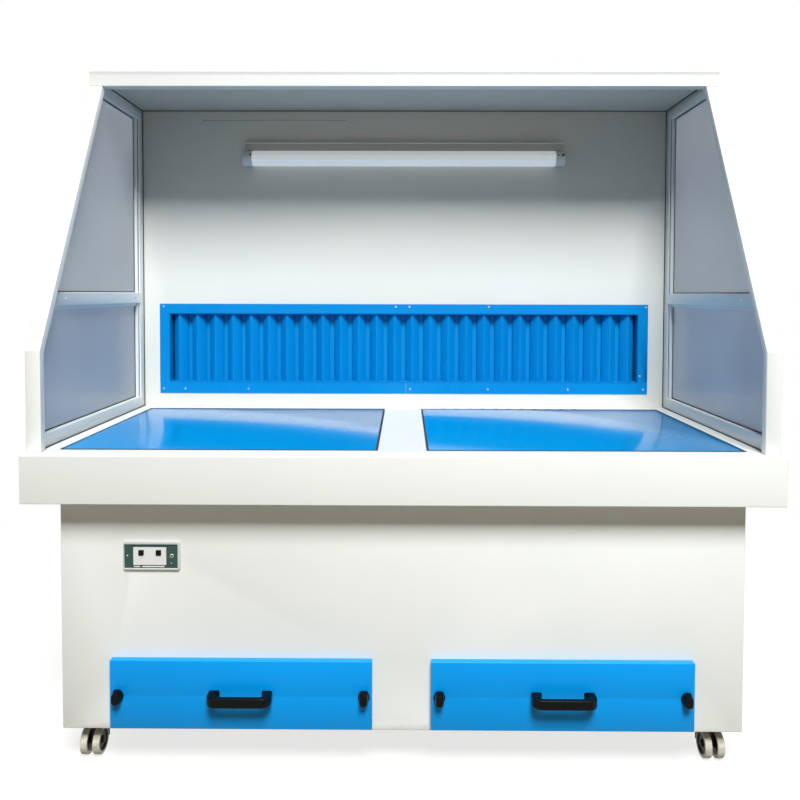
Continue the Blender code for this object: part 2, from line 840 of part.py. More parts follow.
def blade_section(middle):
    """A V of bent sheet in (x, y), its fold towards the front."""
    half = BLADE_WIDTH / 2
    fold = LOUVRE_FACE + BLADE_SETBACK
    slope = BLADE_DEPTH / half
    thickness = BLADE_SHEET * math.hypot(1, slope)
    return [
        (middle, fold),
        (middle + half, fold + BLADE_DEPTH),
        (middle + half, fold + BLADE_DEPTH + thickness),
        (middle, fold + thickness),
        (middle - half, fold + BLADE_DEPTH + thickness),
        (middle - half, fold + BLADE_DEPTH),
    ]


def channel_section(middle):
    """A channel of bent sheet in (x, y), its flat face towards the front."""
    half = CHANNEL_WIDTH / 2
    face = LOUVRE_FACE + CHANNEL_SETBACK
    rear = face + CHANNEL_FLANGE
    inner = half - BLADE_SHEET
    return [
        (middle - half, face),
        (middle + half, face),
        (middle + half, rear),
        (middle + inner, rear),
        (middle + inner, face + BLADE_SHEET),
        (middle - inner, face + BLADE_SHEET),
        (middle - inner, rear),
        (middle - half, rear),
    ]


def make_blade_row(name, sections, y_span, finish):
    """Upright blades welded between a bottom and a top carrier strip."""
    bottom = INTAKE_BOTTOM + FIT
    top = INTAKE_TOP - FIT
    strips = [
        (both(INTAKE_SIDE - FIT), y_span, (bottom, bottom + SHEET)),
        (both(INTAKE_SIDE - FIT), y_span, (top - SHEET, top)),
    ]
    row = blocks(name, strips)
    join(row, prisms(f"{name}_blades", sections, "Z", (bottom + SHEET / 2, top - SHEET / 2)))
    return settle(row, finish)


def make_blades(finishes):
    """The front row of V blades and the row of channels that covers the gaps between them."""
    pitch = INTAKE_SIDE * 2 / BLADE_COUNT
    middles = [-INTAKE_SIDE + pitch * (index + 0.5) for index in range(BLADE_COUNT)]
    gaps = [-INTAKE_SIDE + pitch * index for index in range(1, BLADE_COUNT)]
    front = LOUVRE_FACE + BLADE_SETBACK
    blade_rear = blade_section(0)[2][1]
    make_blade_row(
        "front_blade_row",
        [blade_section(middle) for middle in middles],
        (front - CARRIER_MARGIN, blade_rear + CARRIER_MARGIN),
        finishes["blue_coat"],
    )
    face = LOUVRE_FACE + CHANNEL_SETBACK
    make_blade_row(
        "rear_blade_row",
        [channel_section(middle) for middle in gaps],
        (face - CARRIER_MARGIN, face + CHANNEL_FLANGE + CARRIER_MARGIN),
        finishes["blue_coat"],
    )


def make_light(finishes):
    """Batten light: a folded base on the wall and a rounded diffuser below it."""
    back = WALL_FRONT
    bottom = CEILING - LIGHT_DROP
    top = bottom + DIFFUSER_HEIGHT
    nose = DIFFUSER_HEIGHT / 2
    middle = (back - DIFFUSER_DEPTH + nose, bottom + nose)
    outline = [(back, bottom + DIFFUSER_BACK), (back, top), (middle[0], top)]
    outline += arc(middle, nose, math.pi / 2, math.pi * 3 / 2, CORNER_STEPS * 2)[1:]
    diffuser = prism("light_diffuser", outline, "X", both(DIFFUSER_LENGTH / 2))
    settle(diffuser, finishes["white_plastic"])
    base = block(
        "light_base",
        both(LIGHT_LENGTH / 2),
        (back - LIGHT_BASE_DEPTH, back),
        (top + FIT, top + FIT + LIGHT_BASE_HEIGHT),
    )
    settle(base, finishes["white_coat"])


def control_spans():
    """Outer X and Z spans of the control panel."""
    low = -CABINET_SIDE + CONTROL_SIDE_MARGIN
    high = APRON_BOTTOM - CONTROL_DROP
    return (low, low + CONTROL_WIDTH), (high - CONTROL_HEIGHT, high)


def module_spans(margin=0):
    """X and Z spans of the switch module, with a margin all round."""
    panel_x, panel_z = control_spans()
    low = panel_x[0] + MODULE_MARGIN
    bottom = panel_z[0] + MODULE_BOTTOM_MARGIN
    return (low - margin, low + MODULE_WIDTH + margin), (bottom - margin, bottom + MODULE_HEIGHT + margin)


def make_controls(finishes):
    """Framed panel on the cabinet front, the switch module through it and two push buttons."""
    face = CABINET_FRONT - FIT
    panel_x, panel_z = control_spans()
    panel = prism(
        "control_panel", rounded(panel_x, panel_z, CONTROL_CORNER), "Y", (face - CONTROL_REACH, face)
    )
    recess_x = (panel_x[0] + CONTROL_RIM, panel_x[1] - CONTROL_RIM)
    recess_z = (panel_z[0] + CONTROL_RIM, panel_z[1] - CONTROL_RIM)
    floor = face - CONTROL_FLOOR
    before = face - CONTROL_REACH - OVERRUN
    cut(panel, block("panel_recess", recess_x, (before, floor), recess_z))
    module_x, module_z = module_spans(FIT)
    cut(panel, block("panel_module_cut", module_x, (before, face + OVERRUN), module_z))
    settle(panel, finishes["green_plastic"])
    module_x, module_z = module_spans()
    front = floor - MODULE_REACH
    module = block("control_module", module_x, (front, front + MODULE_DEPTH), module_z)
    middle = sum(module_x) / 2
    height = module_z[0] + BUTTON_RISE
    half = BUTTON_SIZE / 2
    back = front - BUTTON_REACH + BUTTON_DEPTH
    for side, sign in SIDES.items():
        place = middle + sign * BUTTON_SPACING / 2
        socket = block(
            f"button_socket_{side}",
            around(place, half + BUTTON_GAP),
            (front - OVERRUN, back + BUTTON_TRAVEL + FIT),
            around(height, half + BUTTON_GAP),
        )
        cut(module, socket)
        depth = (back - BUTTON_DEPTH, back)
        button = block(f"push_button_{side}", around(place, half), depth, around(height, half))
        settle(button, finishes["black_plastic"], (place, back, height))
    settle(module, finishes["white_plastic"])


def handle_outline(middle, face):
    """Bridge handle in (x, y), with a round outer and inner corner on each leg."""
    outer = HANDLE_WIDTH / 2
    front = face - HANDLE_REACH
    corner = HANDLE_CORNER
    corner_x = outer - corner
    corner_y = front + corner
    inner_corner = HANDLE_CORNER - HANDLE_GRIP
    inner_x = outer - HANDLE_LEG - inner_corner
    inner_y = front + HANDLE_GRIP + inner_corner
    quarter = math.pi / 2
    points = [(middle + outer, face)]
    points += arc((middle + corner_x, corner_y), corner, 0, -quarter, CORNER_STEPS)
    points += arc((middle - corner_x, corner_y), corner, -quarter, -math.pi, CORNER_STEPS)
    points += [(middle - outer, face), (middle - outer + HANDLE_FOOT, face)]
    points += arc((middle - inner_x, inner_y), inner_corner, -math.pi, -quarter, CORNER_STEPS)
    points += arc((middle + inner_x, inner_y), inner_corner, -quarter, 0, CORNER_STEPS)
    points += [(middle + outer - HANDLE_FOOT, face)]
    return points


def make_handle(side, middle, finish):
    face = DRAWER_FACE - FIT
    height = DRAWER_BOTTOM + HANDLE_RISE
    breadth = around(height, HANDLE_BREADTH / 2)
    handle = prism(f"drawer_handle_{side}", handle_outline(middle, face), "Z", breadth)
    edge = handle.modifiers.new("round_edges", "BEVEL")
    edge.width = HANDLE_EDGE
    edge.segments = 2
    edge.limit_method = "ANGLE"
    edge.angle_limit = EDGE_ANGLE
    return settle(handle, finish, (middle, face, height))


def make_latch(name, middle, finish):
    """Quarter-turn latch: a knob with a wing, a shaft and a tongue that points up when it is released."""
    face = DRAWER_FACE - FIT
    height = DRAWER_BOTTOM + LATCH_RISE
    tongue_front = CABINET_FRONT + SHEET + TONGUE_GAP
    profile = [
        (0, face),
        (KNOB_RADIUS, face),
        (KNOB_RADIUS, face - KNOB_REACH + KNOB_EDGE),
        (KNOB_RADIUS - KNOB_EDGE, face - KNOB_REACH),
        (0, face - KNOB_REACH),
    ]
    latch = turned(name, profile, "Y", (middle, height), ROUND_STEPS)
    wing_outline = rounded(
        around(middle, WING_THICKNESS / 2), around(height, WING_LENGTH / 2), WING_THICKNESS / 2 - KNOB_EDGE
    )
    join(latch, prism(f"{name}_wing", wing_outline, "Y", (face - WING_REACH, face - KNOB_EDGE)))
    shaft_span = (face - KNOB_EDGE, tongue_front + TONGUE_THICKNESS / 2)
    join(latch, rod(f"{name}_shaft", "Y", (middle, height), shaft_span, SHAFT_RADIUS))
    half = TONGUE_WIDTH / 2
    tongue = block(
        f"{name}_tongue",
        around(middle, half),
        (tongue_front, tongue_front + TONGUE_THICKNESS),
        (height - half, height + TONGUE_LENGTH),
    )
    join(latch, tongue)
    return settle(latch, finish, (middle, face, height))


def make_drawer(side, sign, finishes):
    """Dust drawer: a folded front, a tray, a handle and two latches on one sliding empty."""
    middle = sign * DRAWER_OFFSET
    half = DRAWER_WIDTH / 2
    back = CABINET_FRONT - FIT
    top = DRAWER_BOTTOM + DRAWER_HEIGHT
    slide = add_empty(f"drawer_slide_{side}", (middle, CABINET_FRONT, DRAWER_BOTTOM))
    front = block(f"drawer_front_{side}", around(middle, half), (DRAWER_FACE, back), (DRAWER_BOTTOM, top))
    hollow = block(
        f"front_hollow_{side}",
        around(middle, half - SHEET),
        (DRAWER_FACE + SHEET, back + OVERRUN),
        (DRAWER_BOTTOM + SHEET, top - SHEET),
    )
    cut(front, hollow)
    latch_reach = sign * (half - LATCH_INSET)
    latch_places = {"outer": middle + latch_reach, "inner": middle - latch_reach}
    for place_name, place in latch_places.items():
        hole = rod(
            f"latch_hole_{side}_{place_name}",
            "Y",
            (place, DRAWER_BOTTOM + LATCH_RISE),
            (DRAWER_FACE - OVERRUN, DRAWER_FACE + OVERRUN),
            SHAFT_RADIUS + SHAFT_GAP,
            flats_at_radius=True,
        )
        cut(front, hole)
    settle(front, finishes["blue_coat"], world_place(slide))
    tray = block(
        f"drawer_tray_{side}",
        around(middle, TRAY_HALF_WIDTH),
        (CABINET_FRONT, TRAY_REAR),
        (TRAY_BOTTOM, TRAY_TOP),
    )
    inside = block(
        f"tray_inside_{side}",
        around(middle, TRAY_HALF_WIDTH - SHEET),
        (CABINET_FRONT + SHEET, TRAY_REAR - SHEET),
        (TRAY_BOTTOM + SHEET, TRAY_TOP + OVERRUN),
    )
    cut(tray, inside)
    settle(tray, finishes["zinc"], world_place(slide))
    handle = make_handle(side, middle, finishes["black_plastic"])
    hang(front, slide)
    hang(tray, slide)
    hang(handle, slide)
    for place_name, place in latch_places.items():
        latch = make_latch(f"drawer_latch_{side}_{place_name}", place, finishes["black_plastic"])
        hang(latch, slide)


def make_runners(side, sign, finish):
    """Folded rails on the cabinet floor that carry one tray and guide its sides."""
    middle = sign * DRAWER_OFFSET
    for end, direction in (("outer", sign), ("inner", -sign)):
        wall = middle + direction * (TRAY_HALF_WIDTH + SHAFT_GAP)
        ledge = TRAY_BOTTOM - FIT
        foot = CABINET_FLOOR + FIT
        guide = TRAY_BOTTOM + RUNNER_GUIDE
        outline = [
            (wall, guide),
            (wall, ledge),
            (wall - direction * RUNNER_LEDGE, ledge),
            (wall - direction * RUNNER_LEDGE, ledge - SHEET),
            (wall, ledge - SHEET),
            (wall, foot),
            (wall + direction * RUNNER_FOOT, foot),
            (wall + direction * RUNNER_FOOT, foot + SHEET),
            (wall + direction * SHEET, foot + SHEET),
            (wall + direction * SHEET, guide),
        ]
        span = (CABINET_FRONT + SHEET + FIT, TRAY_REAR)
        settle(prism(f"drawer_runner_{side}_{end}", outline, "Y", span), finish)


def make_bulkhead(finishes):
    """Folded sheet that parts the dusty chamber from the fan: a wall with two filter mouths and a deck."""
    inner_side = CABINET_SIDE - SHEET - FIT
    bottom = CABINET_FLOOR + FIT
    rear = CABINET_REAR - SHEET - FIT
    section = [
        (BULKHEAD, bottom),
        (BULKHEAD + BULKHEAD_FLANGE, bottom),
        (BULKHEAD + BULKHEAD_FLANGE, bottom + SHEET),
        (BULKHEAD + SHEET, bottom + SHEET),
        (BULKHEAD + SHEET, FILTER_DECK - SHEET),
        (rear - SHEET, FILTER_DECK - SHEET),
        (rear - SHEET, FILTER_DECK - BULKHEAD_FLANGE),
        (rear, FILTER_DECK - BULKHEAD_FLANGE),
        (rear, FILTER_DECK),
        (BULKHEAD, FILTER_DECK),
    ]
    bulkhead = prism("filter_bulkhead", section, "X", both(inner_side))
    for side, sign in SIDES.items():
        mouth = rod(
            f"filter_mouth_{side}",
            "Y",
            (sign * CARTRIDGE_OFFSET, CARTRIDGE_HEIGHT),
            (BULKHEAD - OVERRUN, BULKHEAD + OVERRUN),
            CARTRIDGE_BORE,
            ROUND_STEPS,
        )
        cut(bulkhead, mouth)
    return settle(bulkhead, finishes["zinc"])


def make_cartridge(side, sign, finish):
    """Pleated filter cartridge, closed at the front and open at the bulkhead."""
    centre = (sign * CARTRIDGE_OFFSET, CARTRIDGE_HEIGHT)
    rear = BULKHEAD - FIT
    front = rear - CARTRIDGE_LENGTH
    points = []
    for index in range(PLEAT_COUNT * 2):
        angle = math.pi * index / PLEAT_COUNT
        radius = CARTRIDGE_RADIUS - (PLEAT_DEPTH if index % 2 else SHEET)
        points.append((centre[0] + radius * math.cos(angle), centre[1] + radius * math.sin(angle)))
    half_cap = CARTRIDGE_CAP / 2
    cartridge = prism(f"filter_cartridge_{side}", points, "Y", (front + half_cap, rear - half_cap))
    caps = {"cap": (front, front + CARTRIDGE_CAP), "base": (rear - CARTRIDGE_CAP, rear)}
    for cap_name, cap_span in caps.items():
        name = f"cartridge_{cap_name}_{side}"
        join(cartridge, rod(name, "Y", centre, cap_span, CARTRIDGE_RADIUS, ROUND_STEPS))
    bore_span = (front + CARTRIDGE_CAP + SHEET, rear + OVERRUN)
    cut(cartridge, rod(f"cartridge_bore_{side}", "Y", centre, bore_span, CARTRIDGE_BORE, ROUND_STEPS))
    return settle(cartridge, finish)


def scroll_outline(wall, outlet_end):
    """Spiral in (y, z) that widens towards a straight outlet at the bottom rear, drawn in by the wall."""
    turn = (SCROLL_END - SCROLL_START) / SCROLL_STEPS
    growth = (SCROLL_END_RADIUS - SCROLL_START_RADIUS) / SCROLL_STEPS
    points = []
    for step in range(SCROLL_STEPS + 1):
        angle = SCROLL_START + turn * step
        radius = SCROLL_START_RADIUS + growth * step - wall
        points.append((FAN_Y + radius * math.cos(angle), FAN_Z + radius * math.sin(angle)))
    points.append((outlet_end, OUTLET_BOTTOM + wall))
    points.append((outlet_end, OUTLET_TOP - wall))
    return points


def make_fan_housing(finishes):
    """Scroll housing with an inlet on one side, the shaft hole on the other and a rear outlet."""
    rear = CABINET_REAR - SHEET - FIT
    half = FAN_WIDTH / 2
    housing = prism("fan_housing", scroll_outline(0, rear), "X", both(half))
    cut(housing, prism("scroll_hollow", scroll_outline(SHEET, rear + OVERRUN), "X", both(half - SHEET)))
    centre = (FAN_Y, FAN_Z)
    cut(housing, rod("fan_inlet", "X", centre, around(half, OVERRUN), FAN_INLET_RADIUS, ROUND_STEPS))
    cut(housing, rod("fan_shaft_hole", "X", centre, around(-half, OVERRUN), MOTOR_SHAFT_RADIUS + SHEET))
    return settle(housing, finishes["zinc"])


def impeller_blade(index):
    """One backward-leaning blade in (y, z)."""
    around_axis = math.tau * index / IMPELLER_BLADES
    inner = IMPELLER_RADIUS - IMPELLER_RING * 2
    outer = IMPELLER_RADIUS - IMPELLER_SHEET
    start = Vector((math.cos(around_axis), math.sin(around_axis))) * inner
    lean = around_axis + IMPELLER_LEAN
    end = Vector((math.cos(lean), math.sin(lean))) * outer
    across = (end - start).normalized().orthogonal() * IMPELLER_SHEET / 2
    centre = Vector((FAN_Y, FAN_Z))
    return [tuple(centre + point) for point in (start + across, end + across, end - across, start - across)]


def make_fan_wheel(finishes):
    """Impeller: back disc with its hub, leaning blades and a front ring."""
    centre = (FAN_Y, FAN_Z)
    back = -IMPELLER_WIDTH / 2
    front = IMPELLER_WIDTH / 2
    hub_end = back + IMPELLER_HUB_LENGTH
    bore = MOTOR_SHAFT_RADIUS + FIT
    disc = [
        (bore, back),
        (IMPELLER_RADIUS, back),
        (IMPELLER_RADIUS, back + IMPELLER_SHEET),
        (IMPELLER_HUB_RADIUS, back + IMPELLER_SHEET),
        (IMPELLER_HUB_RADIUS, hub_end),
        (bore, hub_end),
    ]
    wheel = turned("fan_wheel", disc, "X", centre, ROUND_STEPS, flats_at_radius=True)
    blades = prisms(
        "impeller_blades",
        [impeller_blade(index) for index in range(IMPELLER_BLADES)],
        "X",
        (back + IMPELLER_SHEET / 2, front - IMPELLER_SHEET / 2),
    )
    join(wheel, blades)
    ring = [
        (IMPELLER_RADIUS - IMPELLER_RING, front - IMPELLER_SHEET),
        (IMPELLER_RADIUS, front - IMPELLER_SHEET),
        (IMPELLER_RADIUS, front),
        (IMPELLER_RADIUS - IMPELLER_RING, front),
    ]
    join(wheel, turned("impeller_ring", ring, "X", centre, ROUND_STEPS, flats_at_radius=True))
    return settle(wheel, finishes["zinc"], (0, FAN_Y, FAN_Z))


def make_fan_motor(finishes):
    """Flange motor on a pedestal, its shaft in the impeller's hub."""
    centre = (FAN_Y, FAN_Z)
    face = -FAN_WIDTH / 2 - FIT
    rear = face - MOTOR_LENGTH
    motor = rod("fan_motor", "X", centre, (rear, face), MOTOR_RADIUS, ROUND_STEPS)
    hub_end = -IMPELLER_WIDTH / 2 + IMPELLER_HUB_LENGTH
    join(motor, rod("motor_shaft", "X", centre, (face - OVERRUN, hub_end - SHEET), MOTOR_SHAFT_RADIUS))
    middle = (rear + face) / 2
    foot = block(
        "motor_foot",
        around(middle, MOTOR_FOOT_LENGTH / 2),
        around(FAN_Y, MOTOR_FOOT_WIDTH / 2),
        (CABINET_FLOOR + FIT, FAN_Z - MOTOR_RADIUS / 2),
    )
    join(motor, foot)
    return settle(motor, finishes["motor_coat"])


def make_grille(finishes):
    """Exhaust grille on the rear wall: a border and tilted slats."""
    half = FAN_WIDTH / 2
    start = CABINET_REAR + FIT
    end = start + GRILLE_REACH
    grille = block(
        "exhaust_grille",
        both(half + GRILLE_BORDER),
        (start, end),
        (OUTLET_BOTTOM - GRILLE_BORDER, OUTLET_TOP + GRILLE_BORDER),
    )
    bottom = OUTLET_BOTTOM + SHEET
    top = OUTLET_TOP - SHEET
    cut(grille, block("grille_window", both(half - SHEET), (start - OVERRUN, end + OVERRUN), (bottom, top)))
    pitch = (top - bottom) / GRILLE_SLATS
    drop = (GRILLE_REACH - SHEET) * math.tan(SLAT_TILT)
    slats = []
    for index in range(GRILLE_SLATS):
        height = bottom + pitch * (index + 0.5) + drop / 2
        near = start + SHEET / 2
        far = end - SHEET / 2
        low = height - drop
        slats.append([(near, height), (far, low), (far, low + SHEET), (near, height + SHEET)])
    join(grille, prisms("grille_slats", slats, "X", both(half - SHEET / 2)))
    return settle(grille, finishes["white_coat"])


def wheel_profile(sign):
    """Wheel section as (radius, place along X), its recessed face outward."""
    near = FORK_WEB / 2 + WHEEL_GAP
    far = near + WHEEL_WIDTH
    rim = WHEEL_RADIUS - WHEEL_RIM
    bore = AXLE_RADIUS + FIT
    points = [
        (bore, near),
        (WHEEL_RADIUS - WHEEL_EDGE, near),
        (WHEEL_RADIUS, near + WHEEL_EDGE),
        (WHEEL_RADIUS, far - WHEEL_EDGE),
        (WHEEL_RADIUS - WHEEL_EDGE, far),
        (rim, far),
        (rim, far - WHEEL_RECESS),
        (WHEEL_HUB_RADIUS, far - WHEEL_RECESS),
        (WHEEL_HUB_RADIUS, far - FIT),
        (bore, far - FIT),
    ]
    return [(radius, sign * along) for radius, along in points]


def hood_outline(centre):
    inner = WHEEL_RADIUS + HOOD_GAP
    outer = inner + HOOD_SHEET
    top = arc(centre, outer, HOOD_START, HOOD_END, HOOD_STEPS)
    return top + arc(centre, inner, HOOD_END, HOOD_START, HOOD_STEPS)


def make_fork(name, x, y, finish):
    """Swivelling head with a web between the wheels, an axle and a hood over their rear."""
    axle_y = y - CASTER_TRAIL
    head_top = CASTER_PLATE_BOTTOM - FIT
    head_bottom = head_top - FORK_HEAD_HEIGHT
    fork = rod(name, "Z", (x, y), (head_bottom, head_top), FORK_HEAD_RADIUS, ROUND_STEPS)
    web_span = around(x, FORK_WEB / 2)
    boss = arc((axle_y, WHEEL_RADIUS), FORK_BOSS_RADIUS, math.pi, math.tau, CORNER_STEPS * 2)
    web_top = head_bottom + FORK_HEAD_HEIGHT / 2
    web = boss + [(y + FORK_HEAD_RADIUS / 2, web_top), (axle_y - FORK_BOSS_RADIUS / 2, web_top)]
    join(fork, prism(f"{name}_web", web, "X", web_span))
    reach = FORK_WEB / 2 + WHEEL_GAP + WHEEL_WIDTH
    join(fork, prism(f"{name}_hood", hood_outline((axle_y, WHEEL_RADIUS)), "X", around(x, reach)))
    centre = (axle_y, WHEEL_RADIUS)
    axle_end = reach + FIT
    join(fork, rod(f"{name}_axle", "X", centre, around(x, axle_end + AXLE_CAP / 2), AXLE_RADIUS))
    for sign in SIDES.values():
        cap_span = sorted((x + sign * axle_end, x + sign * (axle_end + AXLE_CAP)))
        join(fork, rod(f"{name}_cap_{sign}", "X", centre, cap_span, AXLE_CAP_RADIUS))
    return settle(fork, finish, (x, y, head_top))


def make_caster(name, x, y, finishes):
    """Twin-wheel swivel caster below the cabinet floor."""
    plate = block(
        f"caster_plate_{name}",
        around(x, CASTER_PLATE_SIZE / 2),
        around(y, CASTER_PLATE_SIZE / 2),
        (CASTER_PLATE_BOTTOM, CASTER_PLATE_TOP),
    )
    settle(plate, finishes["black_plastic"])
    fork = make_fork(f"caster_fork_{name}", x, y, finishes["black_plastic"])
    axle_y = y - CASTER_TRAIL
    for side, sign in SIDES.items():
        profile = [(radius, x + along) for radius, along in wheel_profile(sign)]
        wheel_name = f"caster_wheel_{name}_{side}"
        wheel = turned(wheel_name, profile, "X", (axle_y, WHEEL_RADIUS), flats_at_radius=True)
        settle(wheel, finishes["tread"], (x, axle_y, WHEEL_RADIUS))
        hang(wheel, fork)


def make_casters(finishes):
    rows = {"front": CABINET_FRONT + CASTER_FRONT_MARGIN, "rear": CABINET_REAR - CASTER_REAR_MARGIN}
    for row, y in rows.items():
        for side, sign in SIDES.items():
            make_caster(f"{row}_{side}", sign * CASTER_X, y, finishes)


def main():
    clear_scene()
    finishes = make_finishes()
    make_cabinet(finishes)
    make_worktop(finishes)
    make_work_plates(finishes)
    make_side_frames(finishes)
    make_back_panel(finishes)
    make_rear_housing(finishes)
    make_roof(finishes)
    make_louvre_frame(finishes)
    make_blades(finishes)
    make_light(finishes)
    make_controls(finishes)
    for side, sign in SIDES.items():
        make_drawer(side, sign, finishes)
        make_runners(side, sign, finishes["zinc"])
        make_cartridge(side, sign, finishes["filter_media"])
    make_bulkhead(finishes)
    make_fan_housing(finishes)
    make_fan_wheel(finishes)
    make_fan_motor(finishes)
    make_grille(finishes)
    make_casters(finishes)


if __name__ == "__main__":
    main()
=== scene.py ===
"""Finished look of the downdraft sanding bench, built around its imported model.

Metres, +Z up, +X to the right of someone standing at the bench, front at -Y.
"""

import json
import logging
import math
from dataclasses import dataclass, field, replace
from enum import Enum

import bmesh
import bpy
import numpy as np
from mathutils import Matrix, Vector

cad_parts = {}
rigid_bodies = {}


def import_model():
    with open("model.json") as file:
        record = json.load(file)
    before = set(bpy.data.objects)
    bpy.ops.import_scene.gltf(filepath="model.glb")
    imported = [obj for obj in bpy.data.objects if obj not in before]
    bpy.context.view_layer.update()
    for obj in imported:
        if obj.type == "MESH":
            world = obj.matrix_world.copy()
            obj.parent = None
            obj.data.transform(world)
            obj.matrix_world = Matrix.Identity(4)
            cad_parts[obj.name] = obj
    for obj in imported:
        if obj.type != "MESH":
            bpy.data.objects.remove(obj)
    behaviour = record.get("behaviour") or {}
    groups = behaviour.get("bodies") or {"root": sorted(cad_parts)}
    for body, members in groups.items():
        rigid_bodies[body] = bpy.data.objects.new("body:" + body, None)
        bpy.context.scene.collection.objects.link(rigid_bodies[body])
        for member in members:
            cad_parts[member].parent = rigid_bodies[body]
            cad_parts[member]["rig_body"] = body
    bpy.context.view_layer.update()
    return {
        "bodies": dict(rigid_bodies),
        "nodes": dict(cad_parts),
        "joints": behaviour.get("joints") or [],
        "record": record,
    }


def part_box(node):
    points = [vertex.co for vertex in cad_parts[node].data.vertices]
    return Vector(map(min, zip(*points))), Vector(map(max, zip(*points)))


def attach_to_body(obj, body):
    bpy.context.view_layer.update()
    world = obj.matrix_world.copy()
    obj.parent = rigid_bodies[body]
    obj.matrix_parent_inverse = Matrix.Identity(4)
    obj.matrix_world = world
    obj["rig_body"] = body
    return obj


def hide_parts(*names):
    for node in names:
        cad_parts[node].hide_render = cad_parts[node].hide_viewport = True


logger = logging.getLogger("sanding_bench")

MILLIMETRE = 0.001
MERGE_DISTANCE = 1e-5
FLAT_ANGLE = math.radians(0.4)
CREASE_ANGLE = math.radians(28)

# How far trim sinks into its sheet or keeps clear of it, and the play round a fitted piece
HAIR = 0.0002
PLAY = 0.0003

Spans = tuple[float, float]
Place = tuple[float, float, float]
Steps = tuple[tuple[float, float], ...]


class Axis(Enum):
    """A world axis, with the order that puts (first, second, along) into (x, y, z)."""

    X = (2, 0, 1)
    Y = (0, 2, 1)
    Z = (0, 1, 2)


class Side(Enum):
    """Left or right half of the bench, with its sign along X."""

    LEFT = -1
    RIGHT = 1

    @property
    def word(self) -> str:
        """The side as it stands in node names."""
        return self.name.lower()

    def across(self, near: float, far: float) -> Spans:
        """The span along X between two distances from the middle of the bench, on this side."""
        return tuple(sorted((self.value * near, self.value * far)))


# Colours and materials


def linear(hex_colour: str) -> tuple[float, float, float, float]:
    """Turn an sRGB hex colour into linear light.

    Args:
        hex_colour: six hex digits after a hash.

    Returns:
        Red, green and blue in linear light, and an alpha of one.
    """
    channels = np.array([int(hex_colour[start : start + 2], 16) for start in (1, 3, 5)]) / 255
    light = np.where(channels <= 0.04045, channels / 12.92, ((channels + 0.055) / 1.055) ** 2.4)
    return (*light.tolist(), 1.0)


def add_node(tree: bpy.types.NodeTree, kind: str, inputs: dict | None = None, **settings) -> bpy.types.Node:
    """Add a shader node with its settings and links.

    Args:
        tree: the node tree it goes into.
        kind: Blender's type name of the node.
        inputs: socket name or index to a value or to the output socket it is linked from.
        **settings: the node's own properties.

    Returns:
        The new node.
    """
    node = tree.nodes.new(kind)
    for name, value in settings.items():
        setattr(node, name, value)
    for name, value in (inputs or {}).items():
        if isinstance(value, bpy.types.NodeSocket):
            tree.links.new(value, node.inputs[name])
        else:
            node.inputs[name].default_value = value
    return node


